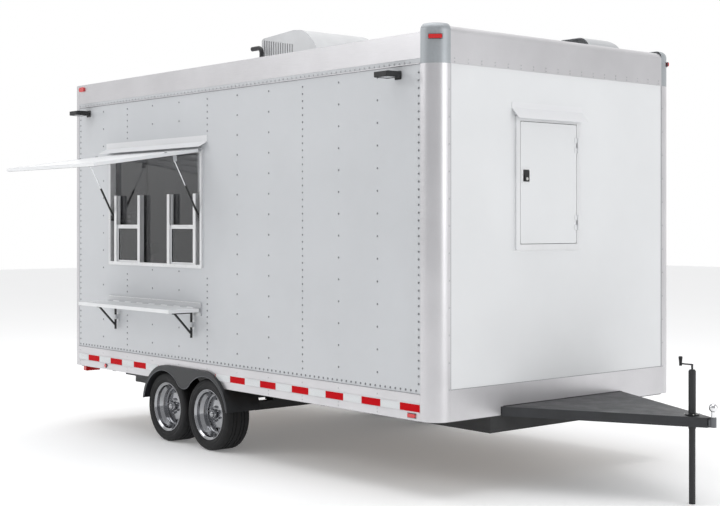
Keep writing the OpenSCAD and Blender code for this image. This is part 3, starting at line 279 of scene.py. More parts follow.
EVEN_GRAIN = (40.0, 40.0, 40.0)
M = {
    # The walls share one white paint; the side walls get a much darker copy of it: painted shade.
    "side_panel": enamel("side_enamel_painted_shade", rgb(0.60, 0.615, 0.635), 0.42, 0.25),
    "front_panel": enamel("front_enamel", rgb(0.76, 0.77, 0.78), 0.42, 0.06),
    "rear_panel": enamel("rear_enamel", rgb(0.72, 0.73, 0.745), 0.36, 0.2),
    "rail_metal": metal("rail_aluminium", rgb(0.66, 0.652, 0.668), 0.34, 0.8),
    "casting_metal": metal("cast_corner", rgb(0.40, 0.425, 0.445), 0.42, 0.5, (9.0, 9.0, 9.0)),
    "roof_metal": enamel("roof_enamel", rgb(0.78, 0.79, 0.80), 0.45),
    "frame_steel": powder("chassis_black", rgb(0.011, 0.0115, 0.0125), 0.5),
    "tongue_steel": powder("charcoal_enamel", rgb(0.022, 0.0235, 0.0265), 0.42),
    "hitch_steel": metal("hitch_block_steel", rgb(0.16, 0.165, 0.175), 0.38, 0.7,
                         (12.0, 12.0, 12.0)),
    "jack_steel": powder("jack_black", rgb(0.014, 0.0145, 0.016), 0.4),
    "crank_steel": powder("crank_black", rgb(0.02, 0.02, 0.022), 0.38),
    "floor_wood": plywood("floor_ply"),
    "lining": plastic("lining_grey", rgb(0.050, 0.0495, 0.054), 0.55, 120.0),
    "tank_plastic": plastic("tank_black", rgb(0.035, 0.036, 0.039), 0.5),
    "lamp_lens": lens("lamp_red", rgb(0.62, 0.004, 0.006), 0.06),
    "frame_aluminium": metal("frame_aluminium", rgb(0.82, 0.825, 0.835), 0.34, 0.6),
    "clear_glass": glass("window_clear", (0.62, 0.63, 0.65, 1.0)),
    "trim_white": enamel("trim_enamel", rgb(0.78, 0.785, 0.80), 0.34, 0.02),
    "hinge_metal": metal("hinge_aluminium", rgb(0.55, 0.56, 0.575), 0.35, 0.8),
    "hatch_white": enamel("hatch_enamel", rgb(0.86, 0.868, 0.88), 0.34, 0.02),
    "strut_black": powder("strut_black", rgb(0.012, 0.012, 0.013), 0.28, 0.05),
    "strut_chrome": chrome("strut_rod_chrome"),
    "shelf_white": enamel("shelf_enamel", rgb(0.84, 0.85, 0.86), 0.34, 0.02),
    "cleat_metal": metal("cleat_aluminium", rgb(0.62, 0.63, 0.645), 0.36, 0.7),
    "bracket_black": powder("bracket_black", rgb(0.011, 0.011, 0.012), 0.42),
    "flood_black": powder("flood_black", rgb(0.014, 0.0145, 0.0155), 0.5),
    "shroud_white": plastic("shroud_white", rgb(0.64, 0.645, 0.655), 0.4),
    "vent_grey": metal("vent_aluminium", rgb(0.62, 0.63, 0.645), 0.4, 0.7),
    "pipe_plastic": plastic("pipe_black", rgb(0.018, 0.018, 0.02), 0.42),
    "tyre_rubber": rubber("tyre_black", rgb(0.008, 0.0081, 0.0087)),
    # The rim chrome is a much darker copy of the chrome used elsewhere: painted shade, standing in
    # for dark reflections under the trailer.
    "rim_metal": chrome("rim_chrome", rgb(0.38, 0.385, 0.40), 0.13),
    "door_white": enamel("door_enamel", rgb(0.76, 0.77, 0.78), 0.36, 0.05),
    "latch_black": powder("latch_black", rgb(0.010, 0.010, 0.011), 0.36),
    "latch_chrome": chrome("lever_chrome", roughness=0.14),
    # Pieces made here only
    "tape_red": reflective("tape_red", rgb(0.60, 0.002, 0.007)),
    "tape_white": reflective("tape_white", rgb(0.80, 0.82, 0.83)),
    # Dark grey wall rivets: the darkness is painted shade, the small shadow round each dome.
    "rivet_dark_painted_shade": metal("rivet_dark_painted_shade", rgb(0.24, 0.25, 0.26), 0.4, 0.5, EVEN_GRAIN),
    "rivet_rail": metal("rivet_rail", rgb(0.55, 0.555, 0.57), 0.3, 0.7, EVEN_GRAIN),
    "rivet_bright": metal("rivet_bright", rgb(0.86, 0.865, 0.875), 0.3, 0.4, EVEN_GRAIN),
    "sealant": plastic("sealant_grey", rgb(0.30, 0.30, 0.32), 0.6),
    "seal_black": plastic("seal_black", rgb(0.015, 0.015, 0.016), 0.7),
    "diffuser": lens("flood_diffuser", rgb(0.10, 0.10, 0.105)),
    "ball_chrome": chrome("ball_chrome", rgb(0.80, 0.80, 0.81), 0.06),
    "lip_grey": powder("lip_grey", rgb(0.10, 0.105, 0.115), 0.4),
    "brass_tone": metal("screw_zinc", rgb(0.70, 0.70, 0.68), 0.3, 0.9, EVEN_GRAIN),
    "socket_dark": plastic("socket_dark", rgb(0.012, 0.012, 0.013), 0.4),
    "conduit": metal("conduit_grey", rgb(0.17, 0.17, 0.18), 0.4, 0.5, (20.0, 20.0, 1.0)),
    # Dark plastic, also used as painted shade in the air conditioner's louvres and slots.
    "dark_plastic_and_shade": plastic("louvre_dark", rgb(0.02, 0.02, 0.021), 0.7),
}

slot_of = {s["node"]: s["material_slot"] for s in frame["record"]["subparts"]}
for name, piece in nodes.items():
    piece.data.materials.clear()
    piece.data.materials.append(M[slot_of[name]])


# ---- a small mesh kit
def facing(place, direction):
    """Moves the Z axis to a place and turns it along a direction."""
    return Matrix.Translation(place) @ direction.to_track_quat("Z", "Y").to_matrix().to_4x4()


class Kit:
    """Gathers simple closed forms into one mesh piece, in the trailer's own frame."""

    def __init__(self):
        self.bm = bmesh.new()

    def box(self, low, high):
        made = bmesh.ops.create_cube(self.bm, size=1.0)
        size = Vector(high) - Vector(low)
        middle = (Vector(high) + Vector(low)) / 2
        turn = Matrix.Translation(middle) @ Matrix.Diagonal((size.x, size.y, size.z, 1.0))
        bmesh.ops.transform(self.bm, matrix=turn, verts=made["verts"])
        return made["verts"]

    def rod(self, start, end, radius, sides=16, end_radius=None):
        start, end = Vector(start), Vector(end)
        along = end - start
        made = bmesh.ops.create_cone(
            self.bm, cap_ends=True, segments=sides, radius1=radius,
            radius2=radius if end_radius is None else end_radius, depth=along.length)
        turn = facing((start + end) / 2, along)
        bmesh.ops.transform(self.bm, matrix=turn, verts=made["verts"])
        return made["verts"]

    def dome(self, foot, outward, radius, height, sides=10, rings=3):
        """A rivet head: a low cap whose flat side lies on a surface."""
        outward = Vector(outward).normalized()
        turn = facing(Vector(foot), outward)
        loops = []
        for ring in range(rings):
            angle = ring / rings * math.pi / 2
            loops.append([self.bm.verts.new(turn @ Vector((
                radius * math.cos(angle) * math.cos(2 * math.pi * i / sides),
                radius * math.cos(angle) * math.sin(2 * math.pi * i / sides),
                height * math.sin(angle)))) for i in range(sides)])
        top = self.bm.verts.new(turn @ Vector((0, 0, height)))
        for lower, upper in zip(loops, loops[1:]):
            for i in range(sides):
                self.bm.faces.new((lower[i], lower[(i + 1) % sides], upper[(i + 1) % sides],
                                   upper[i]))
        for i in range(sides):
            self.bm.faces.new((loops[-1][i], loops[-1][(i + 1) % sides], top))
        self.bm.faces.new(list(reversed(loops[0])))

    def ring(self, centre, axis, profile, sides=64):
        """Turns a closed profile of (radius, offset along the axis) points about an axis."""
        axis = Vector(axis).normalized()
        turn = facing(Vector(centre), axis)
        loops = []
        for i in range(sides):
            a = 2 * math.pi * i / sides
            loops.append([self.bm.verts.new(turn @ Vector((r * math.cos(a), r * math.sin(a), z)))
                          for r, z in profile])
        for i in range(sides):
            first, second = loops[i], loops[(i + 1) % sides]
            for j in range(len(profile)):
                k = (j + 1) % len(profile)
                self.bm.faces.new((first[j], second[j], second[k], first[k]))
        return loops

    def tube(self, points, radius, sides=10):
        """A round bar along a list of points."""
        points = [Vector(p) for p in points]
        loops = []
        side = None
        for i, p in enumerate(points):
            ahead = (points[min(i + 1, len(points) - 1)] - points[max(i - 1, 0)]).normalized()
            if side is None:
                side = ahead.orthogonal().normalized()
            side = (side - ahead * side.dot(ahead)).normalized()
            up = ahead.cross(side)
            turns = [2 * math.pi * k / sides for k in range(sides)]
            loops.append([self.bm.verts.new(p + (side * math.cos(a) + up * math.sin(a)) * radius)
                          for a in turns])
        for first, second in zip(loops, loops[1:]):
            for k in range(sides):
                self.bm.faces.new((first[k], first[(k + 1) % sides], second[(k + 1) % sides],
                                   second[k]))
        self.bm.faces.new(list(reversed(loops[0])))
        self.bm.faces.new(loops[-1])

    def plate(self, outline, offset):
        """Extrudes a flat outline of 3-D points by an offset vector."""
        lower = [self.bm.verts.new(Vector(p)) for p in outline]
        upper = [self.bm.verts.new(Vector(p) + Vector(offset)) for p in outline]
        self.bm.faces.new(list(reversed(lower)))
        self.bm.faces.new(upper)
        for i in range(len(outline)):
            k = (i + 1) % len(outline)
            self.bm.faces.new((lower[i], lower[k], upper[k], upper[i]))

    def make(self, name, material, body, slot=None, bevel=0.0, smooth=False, sharp=None):
        """Makes the piece; sharp is the angle in degrees above which an edge stays hard."""
        bmesh.ops.recalc_face_normals(self.bm, faces=self.bm.faces)
        bmesh.ops.transform(self.bm, matrix=Matrix.Translation(MIDDLE), verts=self.bm.verts)
        mesh = bpy.data.meshes.new(name)
        self.bm.to_mesh(mesh)
        self.bm.free()
        piece = bpy.data.objects.new(name, mesh)
        bpy.context.scene.collection.objects.link(piece)
        mesh.materials.append(material)
        if smooth or sharp:
            mesh.shade_smooth()
        if sharp:
            mesh.set_sharp_from_angle(angle=math.radians(sharp))
        if bevel:
            rounding = piece.modifiers.new("bevel", "BEVEL")
            rounding.width = bevel
            rounding.segments = 2
            rounding.limit_method = "ANGLE"
            rounding.angle_limit = math.radians(40)
        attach(piece, body)
        return piece


# ---- camera, light and floor
def add_camera():
    azimuth = math.radians(49.608)
    data = bpy.data.cameras.new("camera")
    camera = bpy.data.objects.new("camera", data)
    bpy.context.scene.collection.objects.link(camera)
    data.sensor_width = 36.0
    data.lens = 66.766
    data.shift_x = 0.0024
    data.shift_y = -0.0431
    data.clip_end = 200.0
    camera.location = at(8.8642, -7.4314, 1.871)
    look = Vector((-math.sin(azimuth), math.cos(azimuth), 0.0))
    camera.rotation_euler = look.to_track_quat("-Z", "Y").to_euler()
    bpy.context.scene.camera = camera


def add_floor():
    kit = Kit()
    kit.box((-40, -40, -0.02), (40, 40, 0))
    n = Nodes("studio_floor")
    n.set(Base_Color=n.ramp(n.noise(0.6, 3.0),
                            [(0.3, rgb(0.96, 0.96, 0.96)), (0.7, rgb(0.975, 0.975, 0.975))]))
    n.set(Roughness=0.85, Specular_IOR_Level=0.1)
    n.set(Emission_Color=rgb(1.0, 1.0, 1.0), Emission_Strength=0.16)
    floor = kit.make("studio_floor", n.material, "trailer")
    floor.parent = None


def add_light(name, place, target, size, power):
    data = bpy.data.lights.new(name, "AREA")
    data.shape = "RECTANGLE"
    data.size, data.size_y = size
    data.energy = power
    lamp = bpy.data.objects.new(name, data)
    bpy.context.scene.collection.objects.link(lamp)
    lamp.location = at(*place)
    aim = at(*target) - lamp.location
    lamp.rotation_euler = aim.to_track_quat("-Z", "Y").to_euler()


def add_world():
    """A white studio: plain white beyond the object, softer grey behind the camera and low down."""
    world = bpy.data.worlds.new("studio")
    bpy.context.scene.world = world
    world.use_nodes = True
    tree = world.node_tree
    new, link = tree.nodes.new, tree.links.new
    background = tree.nodes["Background"]
    direction = new("ShaderNodeTexCoord").outputs["Generated"]
    axes = new("ShaderNodeSeparateXYZ")
    link(direction, axes.inputs["Vector"])
    # Brightness falls from the far side of the room to the side the camera stands on
    across = new("ShaderNodeVectorMath")
    across.operation = "DOT_PRODUCT"
    across.inputs[1].default_value = (-0.76, 0.65, 0.0)
    link(direction, across.inputs[0])
    ramp = new("ShaderNodeValToRGB")
    ramp.color_ramp.elements[0].position = 0.30
    ramp.color_ramp.elements[0].color = (0.48, 0.485, 0.495, 1.0)
    ramp.color_ramp.elements[1].position = 0.78
    ramp.color_ramp.elements[1].color = (1.0, 1.0, 1.0, 1.0)
    half = new("ShaderNodeMapRange")
    half.inputs["From Min"].default_value = -1.0
    half.inputs["From Max"].default_value = 1.0
    link(across.outputs["Value"], half.inputs["Value"])
    link(half.outputs["Result"], ramp.inputs["Fac"])
    link(ramp.outputs["Color"], background.inputs["Color"])
    background.inputs["Strength"].default_value = 1.0


def add_studio():
    add_world()
    add_light("front_softbox", (12.0, 1.5, 4.0), (2.4, 0.0, 1.8), (5.0, 6.0), 212.0)
    add_light("side_softbox", (-4.5, -9.0, 6.0), (-1.8, -1.3, 2.5), (4.5, 3.0), 120.0)
    add_light("top_softbox", (0.0, -1.0, 11.0), (0.0, 0.0, 3.0), (12.0, 9.0), 520.0)
    add_light("cabin_light", (-1.5, 0.3, 3.0), (-2.38, -0.5, 1.8), (0.8, 0.8), 14.0)
    bpy.context.scene.view_settings.view_transform = "Standard"


# ---- rivets
DENSE = 0.0525
SPARSE = 0.158
SEAM_XS = [-2.369, -1.525, -0.259, 1.006, 2.278]
STUD_XS = [-1.947, -1.105, -0.682, 0.164, 0.584, 1.429, 1.854]
ROW_LOW = RUB_TOP + 0.022
RIVET_TOP = RAIL_LOW - 0.059


def side_rivets():
    """Rivets on both side walls: dense at the sheet seams, sparse at the studs."""
    win_low, win_high = local_box("window_frame")
    cap_top = 2.60
    for side, body_name in ((-1, "curb"), (1, "road")):
        kit = Kit()
        columns = [(x, DENSE) for x in SEAM_XS] + [(x, SPARSE) for x in STUD_XS]
        for x, pitch in columns:
            out = HALF_W if x > HALF_L - POST_R - FLANGE - 0.02 else PANEL_Y
            for i in range(int((RIVET_TOP - ROW_LOW) / pitch + 0.7)):
                z = RIVET_TOP - i * pitch
                behind = win_low.x - 0.06 < x < win_high.x + 0.06 and win_low.z - 0.03 < z < cap_top
                shelf = win_low.x < x < win_high.x and 1.08 < z < 1.23
                if side < 0 and (behind or shelf):
                    continue
                kit.dome((x, side * out, z), (0, side, 0), 0.0078, 0.0042)
        count = int((SEAM_XS[-1] - SEAM_XS[0]) / DENSE)
        for i in range(count + 1):
            kit.dome((SEAM_XS[0] + i * DENSE, side * PANEL_Y, ROW_LOW), (0, side, 0), 0.0085,
                     0.0046)
        # The wall rivet heads are drawn dark grey: painted shade.
        kit.make("rivets_" + body_name + "_wall", M["rivet_dark_painted_shade"], "trailer", "side_panel",
                 smooth=True)


def rail_rivets():
    """Rivets and screws on the top rails, the rub rails, the posts and the front rail."""
    kit = Kit()
    for side in (-1, 1):
        count = int((2.28 + 2.38) / DENSE)
        for i in range(count):
            kit.dome((-2.38 + i * DENSE, side * HALF_W, RAIL_LOW + 0.016), (0, side, 0), 0.0062,
                     0.0034)
        for x in STUD_XS + SEAM_XS[:-1]:
            for z in (0.672, 0.572, 0.546):
                if z < 0.66 and -1.45 < x < 0.3:
                    continue
                kit.dome((x, side * HALF_W, z), (0, side, 0), 0.0055, 0.0028)
        for i in range(12):
            z = 0.742 + i * 0.1835
            kit.dome((HALF_L, side * (HALF_W - POST_R - 0.012), z), (1, 0, 0), 0.0065, 0.0036)
            kit.dome((-HALF_L, side * (HALF_W - 0.022), z), (-1, 0, 0), 0.0065, 0.0036)
    count = 18
    pitch = 0.131
    for i in range(count):
        y = (i - (count - 1) / 2) * pitch
        for z in (FRONT_RAIL_LOW + 0.014, FRONT_RAIL_LOW + 0.036):
            kit.dome((HALF_L, y, z), (1, 0, 0), 0.0062, 0.0036)
    kit.make("rivets_rails", M["rivet_rail"], "trailer", "rail_metal", smooth=True)


# ---- conspicuity tape
TAPE_LOW, TAPE_HIGH = 0.588, 0.639
TAPE_STEP = 0.202
TAPE_T = 0.0006


def tape_run(kits, x0, x1, side, first_edge):
    """Red and white blocks between two places, red ones starting at first_edge + 2k steps."""
    k = math.floor((x0 - first_edge) / TAPE_STEP)
    edge = first_edge + k * TAPE_STEP
    while edge < x1:
        low, high = max(edge, x0), min(edge + TAPE_STEP, x1)
        if high - low > 0.004:
            kit = kits["tape_red"] if k % 2 == 0 else kits["tape_white"]
            ys = sorted((side * (HALF_W + 0.0001), side * (HALF_W + 0.0001 + TAPE_T)))
            kit.box((low + 0.0008, ys[0], TAPE_LOW), (high - 0.0008, ys[1], TAPE_HIGH))
        k += 1
        edge += TAPE_STEP


def tape():
    kits = {"tape_red": Kit(), "tape_white": Kit()}
    fender_low, fender_high = local_box("fenders")
    for side in (-1, 1):
        tape_run(kits, -2.393, fender_low.x + 0.21, side, -2.217)
        tape_run(kits, fender_high.x - 0.21, 2.292, side, 2.091)
    for kind, kit in kits.items():
        # The rear edge of the trailer carries the same tape, under the door
        for i in range(11):
            y = -1.11 + i * TAPE_STEP
            if (i % 2 == 0) == (kind == "tape_red"):
                kit.box((-HALF_L - 0.0001 - TAPE_T, y, TAPE_LOW),
                        (-HALF_L - 0.0001, y + TAPE_STEP, TAPE_HIGH))
        kit.make(kind, M[kind], "trailer", "lamp_lens" if kind == "tape_red" else "trim_white")


# ---- seams and trims of the body
def body_trims():
    """Sealant lines where sheets meet the rails, and the rub rail's two raised edges."""
    dark = Kit()
    bright = Kit()
    for side in (-1, 1):
        low, high = sorted((side * (PANEL_Y + 0.0003), side * (PANEL_Y + 0.0028)))
        dark.box((RAIL_REAR, low, RAIL_LOW - 0.004),
                 (HALF_L - POST_R - 0.026, high, RAIL_LOW - 0.0005))
        dark.box((RAIL_REAR, low, RUB_TOP + 0.0005),
                 (HALF_L - POST_R - 0.026, high, RUB_TOP + 0.0030))
        out_low, out_high = sorted((side * (HALF_W + 0.0001), side * (HALF_W + 0.005)))
        bright.box((RAIL_REAR, out_low, RUB_TOP - 0.006),
                   (HALF_L - POST_R - 0.03, out_high, RUB_TOP))
        for z in (TAPE_LOW - 0.007, TAPE_HIGH + 0.003):
            for x0, x1 in ((RAIL_REAR, -1.44), (0.30, HALF_L - POST_R - 0.03)):
                bright.box((x0, out_low, z), (x1, out_high, z + 0.004))
        bright.box((-HALF_L + 0.05, out_low, RAIL_LOW + 0.0002),
                   (HALF_L - POST_R - FLANGE - 0.002, out_high, RAIL_LOW + 0.006))
    bright.box((HALF_L + 0.0001, -HALF_W + POST_R + 0.026, FRONT_RAIL_LOW + 0.0003),
               (HALF_L + 0.003, HALF_W - POST_R - 0.026, FRONT_RAIL_LOW + 0.004))
    dark.box((FRONT_FACE, -HALF_W + POST_R + 0.02, 0.7402),
             (HALF_L - SKIN + 0.0022, HALF_W - POST_R - 0.02, 0.7435))
    for side in (-1, 1):
        y0, y1 = sorted((side * (HALF_W - POST_R - 0.0245), side * (HALF_W - POST_R - 0.0285)))
        dark.box((FRONT_FACE, y0, 0.744), (HALF_L - SKIN + 0.0022, y1, FRONT_RAIL_LOW - 0.001))
    dark.make("seam_sealant", M["sealant"], "trailer", "pipe_plastic")
    bright.make("rail_edges", M["rail_metal"], "trailer", "rail_metal", bevel=0.0008)


def gasket_frame(kit, low, high, depth, width, axis):
    """Four bars round a rectangle; axis says which way the rectangle faces: x, y or z."""
    u0, v0 = low
    u1, v1 = high
    d0, d1 = depth
    bars = [((u0, v0), (u1, v0 + width)), ((u0, v1 - width), (u1, v1)),
            ((u0, v0 + width), (u0 + width, v1 - width)),
            ((u1 - width, v0 + width), (u1, v1 - width))]
    for (a0, b0), (a1, b1) in bars:
        if axis == "x":
            kit.box((d0, a0, b0), (d1, a1, b1))
        elif axis == "y":
            kit.box((a0, d0, b0), (a1, d1, b1))
        else:
            kit.box((a0, b0, d0), (a1, b1, d1))


# ---- doors
def front_door_details():
    face = FRONT_FACE + 0.015
    latch_low, latch_high = local_box("front_latch")
    gap_y = 0.596 / 2
    centre_y = -0.1775
    z0, z1 = 1.717, 1.717 + 0.862
    seal = Kit()
    gasket_frame(seal, (centre_y - gap_y - 0.0036, z0 - 0.0036),
                 (centre_y + gap_y + 0.0036, z1 + 0.0036),
                 (HALF_L - 0.010, HALF_L + 0.006), 0.0032, "x")
    seal.make("front_door_seal", M["seal_black"], "trailer", "pipe_plastic")
    tray = Kit()
    cy = (latch_low.y + latch_high.y) / 2
    cz = (latch_low.z + latch_high.z) / 2
    gasket_frame(tray, (cy - 0.042, cz - 0.054), (cy + 0.042, cz + 0.054),
                 (face + 0.0002, face + 0.0042), 0.009, "x")
    tray.make("front_latch_tray", M["rivet_bright"], "front_door", "latch_chrome", bevel=0.0015)
    lock = Kit()
    lock.rod((latch_high.x - 0.002, cy, cz - 0.022), (latch_high.x + 0.0035, cy, cz - 0.022),
             0.011, 24)
    lock.box((latch_high.x + 0.0034, cy - 0.0012, cz - 0.028),
             (latch_high.x + 0.0042, cy + 0.0012, cz - 0.016))
    lock.make("front_latch_lock", M["brass_tone"], "front_latch", "latch_chrome", bevel=0.0006)
    rib = Kit()
    gasket_frame(rib, (centre_y - 0.352, z0 - 0.054), (centre_y + 0.352, z1 + 0.054),
                 (FRONT_FACE, HALF_L - SKIN + 0.0042), 0.010, "x")
    rib.make("front_frame_flange", M["frame_aluminium"], "trailer", "frame_aluminium", bevel=0.001)


def rear_door_details():
    face = -HALF_L + SKIN - 0.0002 - 0.015
    centre_y, width, height, z0 = 0.430, 0.800, 1.900, 0.748
    seal = Kit()
    gasket_frame(seal, (centre_y - width / 2 - 0.0036, z0 - 0.0036),
                 (centre_y + width / 2 + 0.0036, z0 + height + 0.0036),
                 (-HALF_L - 0.006, -HALF_L + 0.010), 0.0032, "x")
    seal.make("rear_door_seal", M["seal_black"], "trailer", "pipe_plastic")
    panel = Kit()
    for bottom, top in ((0.12, 0.86), (1.06, 1.76)):
        gasket_frame(panel, (centre_y - 0.30, z0 + bottom), (centre_y + 0.30, z0 + top),
                     (face - 0.004, face - 0.0002), 0.014, "x")
    panel.box((face - 0.003, centre_y - 0.36, z0 + 0.012),
              (face - 0.0002, centre_y + 0.36, z0 + 0.09))
    panel.make("rear_door_mouldings", M["door_white"], "rear_door", "door_white", bevel=0.0015)
    step = Kit()
    step.box((-HALF_L - 0.052, centre_y - 0.34, 0.585), (-HALF_L - 0.001, centre_y + 0.34, 0.592))
    for side in (-1, 1):
        step.box((-HALF_L - 0.05, centre_y + side * 0.3 - 0.003, 0.535),
                 (-HALF_L - 0.001, centre_y + side * 0.3 + 0.003, 0.585))
    for i in range(14):
        y = centre_y - 0.315 + i * 0.0485
        step.box((-HALF_L - 0.050, y - 0.012, 0.592), (-HALF_L - 0.006, y + 0.012, 0.5945))
    step.make("rear_step_plate", M["tongue_steel"], "trailer", "tongue_steel", bevel=0.0008)


# ---- serving window
def sash(which):
    """A lift-up sash: four bars with bevelled edges and a clear pane."""
    name = "sash_" + which
    low, high = local_box(name)
    bars = Kit()
    depth = (low.y, high.y)
    side, top = 0.014, 0.034
    bars.box((low.x + 0.001, depth[0], low.z), (high.x - 0.001, depth[1], low.z + side))
    bars.box((low.x + 0.001, depth[0], high.z - top), (high.x - 0.001, depth[1], high.z))
    for x0, x1 in ((low.x + 0.001, low.x + 0.022), (high.x - 0.022, high.x - 0.001)):
        bars.box((x0, depth[0], low.z + side), (x1, depth[1], high.z - top))
    bars.box((low.x + 0.10, depth[0] - 0.008, high.z - 0.026),
             (high.x - 0.10, depth[0] + 0.001, high.z - 0.018))
    piece = bars.make(name + "_bars", M["frame_aluminium"], name,
                      "frame_aluminium", bevel=0.0012)
    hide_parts("sash_" + which)
    pane = Kit()
    middle = (low.y + high.y) / 2
    pane.box((low.x + 0.018, middle - 0.002, low.z + 0.010),
             (high.x - 0.018, middle + 0.002, high.z - 0.028))
    pane.make(name + "_pane", M["clear_glass"], name, "clear_glass")
    beads = Kit()
    gasket_frame(beads, (low.x + 0.022, low.z + side), (high.x - 0.022, high.z - top),
                 (middle - 0.0045, middle - 0.0021), 0.004, "y")
    beads.make(name + "_bead", M["seal_black"], name, "pipe_plastic")


def window_details():
    low, high = local_box("window_frame")
    kit = Kit()
    # Raised outer bead of the frame and corner screws
    gasket_frame(kit, (low.x + 0.002, low.z + 0.002), (high.x - 0.002, high.z - 0.002),
                 (low.y - 0.002, low.y - 0.0001), 0.006, "y")
    kit.make("window_bead", M["frame_aluminium"], "trailer", "frame_aluminium", bevel=0.0008)
    screws = Kit()
    for x in (low.x + 0.016, high.x - 0.016):
        for i in range(6):
            z = low.z + 0.06 + i * 0.174
            screws.dome((x, low.y, z), (0, -1, 0), 0.0045, 0.0018)
    for i in range(9):
        x = low.x + 0.06 + i * 0.1736
        screws.dome((x, low.y, low.z + 0.016), (0, -1, 0), 0.0045, 0.0018)
    screws.make("window_screws", M["brass_tone"], "trailer", "hinge_metal", smooth=True)


# ---- inside, seen through the window
def outlet(kit, holes, x, y, z):
    """A wall outlet on the rear wall, facing forward."""
    kit.box((x, y - 0.035, z - 0.049), (x + 0.008, y + 0.035, z + 0.049))
    for dz in (-0.021, 0.021):
        holes.box((x + 0.008, y - 0.015, z + dz - 0.014), (x + 0.011, y + 0.015, z + dz + 0.014))


def interior():
    inner_y = HALF_W - 0.05 - SKIN
    back_x = -(HALF_L - 0.05 - SKIN) + 0.0004
    joints = Kit()
    for x in (1.22, 0.0, -1.22):
        joints.box((x - 0.012, inner_y - 0.004, 0.72), (x + 0.012, inner_y - 0.0003, 3.06))
    for x in (-2.0, -0.8, 0.4, 1.6):
        joints.box((x - 0.010, -inner_y, 3.074), (x + 0.010, inner_y, 3.0788))
    joints.box((back_x, -0.515, 0.72), (back_x + 0.003, -0.491, 1.55))
    joints.make("lining_joint_strips", M["conduit"], "trailer", "lining")
    plates, holes = Kit(), Kit()
    for y in (-0.849, -0.768):
        outlet(plates, holes, back_x, y, 1.90)
    plates.make("outlet_plates", M["socket_dark"], "trailer", "lining", bevel=0.001)
    holes.make("outlet_faces", M["conduit"], "trailer", "lining", bevel=0.001)
    panel = Kit()
    panel.box((back_x, -0.530, 1.563), (back_x + 0.045, -0.438, 1.660))
    panel.make("breaker_box", M["dark_plastic_and_shade"], "trailer", "lining", bevel=0.004)
    pipe = Kit()
    pipe_x = back_x + 0.014
    pipe.tube([(pipe_x, -0.559, 3.07), (pipe_x, -0.559, 1.66),
               (pipe_x, -0.556, 1.625),
               (pipe_x, -0.546, 1.612), (pipe_x, -0.531, 1.610)], 0.009)
    pipe.make("wiring_conduit", M["dark_plastic_and_shade"], "trailer", "lining", smooth=True)
    counter = Kit()
    counter.box((-2.25, inner_y - 0.62, 0.94), (0.9, inner_y - 0.001, 0.97))
    counter.box((-2.25, inner_y - 0.60, 0.70), (0.9, inner_y - 0.03, 0.94))
    counter.make("rear_counter", M["conduit"], "trailer", "lining", bevel=0.002)


# ---- hatch, shelf and struts
def hatch_details():
    """An edge band round the hatch and two stiffening ribs below it, at the open angle."""
    angle = math.radians(81.6)
    hinge = Vector((0, -HALF_W - 0.025, 2.455))

    def swing(kit):
        turn = Matrix.Translation(hinge) @ Matrix.Rotation(-angle, 4,
                                                           "X") @ Matrix.Translation(-hinge)
        bmesh.ops.transform(kit.bm, matrix=turn, verts=kit.bm.verts)
        return kit

    x0, x1 = WINDOW_X - 0.75, WINDOW_X + 0.75
    inner, thick = 0.008, 0.025
    top, bottom = hinge.z - 0.015, hinge.z - 0.990
    outer_y = hinge.y + inner - thick
    band = Kit()
    gasket_frame(band, (x0 + 0.0005, bottom + 0.0005), (x1 - 0.0005, top - 0.0005),
                 (outer_y - 0.0012, outer_y - 0.0001), 0.028, "y")
    swing(band).make("hatch_edge_band", M["hatch_white"], "hatch", "hatch_white", bevel=0.0006)
    ribs = Kit()
    for x in (WINDOW_X - 0.36, WINDOW_X, WINDOW_X + 0.36):
        ribs.box((x - 0.022, hinge.y + inner - 0.0058, bottom + 0.045),
                 (x + 0.022, hinge.y + inner - 0.0004, top - 0.06))
    swing(ribs).make("hatch_ribs", M["hatch_white"], "hatch", "hatch_white", bevel=0.001)
    rivets = Kit()
    for i in range(24):
        x = x0 + 0.03 + i * (x1 - x0 - 0.06) / 23
        for z in (bottom + 0.014, top - 0.014):
            rivets.dome((x, outer_y - 0.0012, z), (0, -1, 0), 0.004, 0.0018)
    swing(rivets).make("hatch_rivets", M["rivet_bright"], "hatch", "hatch_white", smooth=True)
    seal = Kit()
    gasket_frame(seal, (x0 + 0.006, bottom + 0.006), (x1 - 0.006, top - 0.006),
                 (hinge.y + inner + 0.0001, hinge.y + inner + 0.0021), 0.012, "y")
    swing(seal).make("hatch_seal", M["lip_grey"], "hatch", "hinge_metal")


def shelf_details():
    low, high = local_box("shelf_board")
    board_top, depth = 1.160, 0.292
    back = -HALF_W - 0.017 - 0.008
    edge = Kit()
    edge.box((low.x + 0.001, back - depth - 0.0008, board_top - 0.029),
             (high.x - 0.001, back - depth - 0.0001, board_top - 0.001))
    edge.make("shelf_nosing", M["shelf_white"], "shelf", "shelf_white")
    screws = Kit()
    cleat_low, cleat_high = local_box("shelf_cleat")
    for i in range(12):
        x = low.x + 0.06 + i * (high.x - low.x - 0.12) / 11
        screws.dome((x, -HALF_W - 0.008, board_top + 0.036), (0, -1, 0), 0.005, 0.0022)
        screws.dome((x, -HALF_W - 0.008, board_top - 0.050), (0, -1, 0), 0.005, 0.0022)
    screws.make("shelf_cleat_screws", M["brass_tone"], "trailer", "hinge_metal", smooth=True)
    lip = Kit()
    lip.box((cleat_low.x + 0.004, -HALF_W - 0.0105, cleat_high.z - 0.006),
            (cleat_high.x - 0.004, -HALF_W - 0.0081, cleat_high.z - 0.001))
    lip.make("shelf_cleat_lip", M["rivet_bright"], "trailer", "cleat_metal")


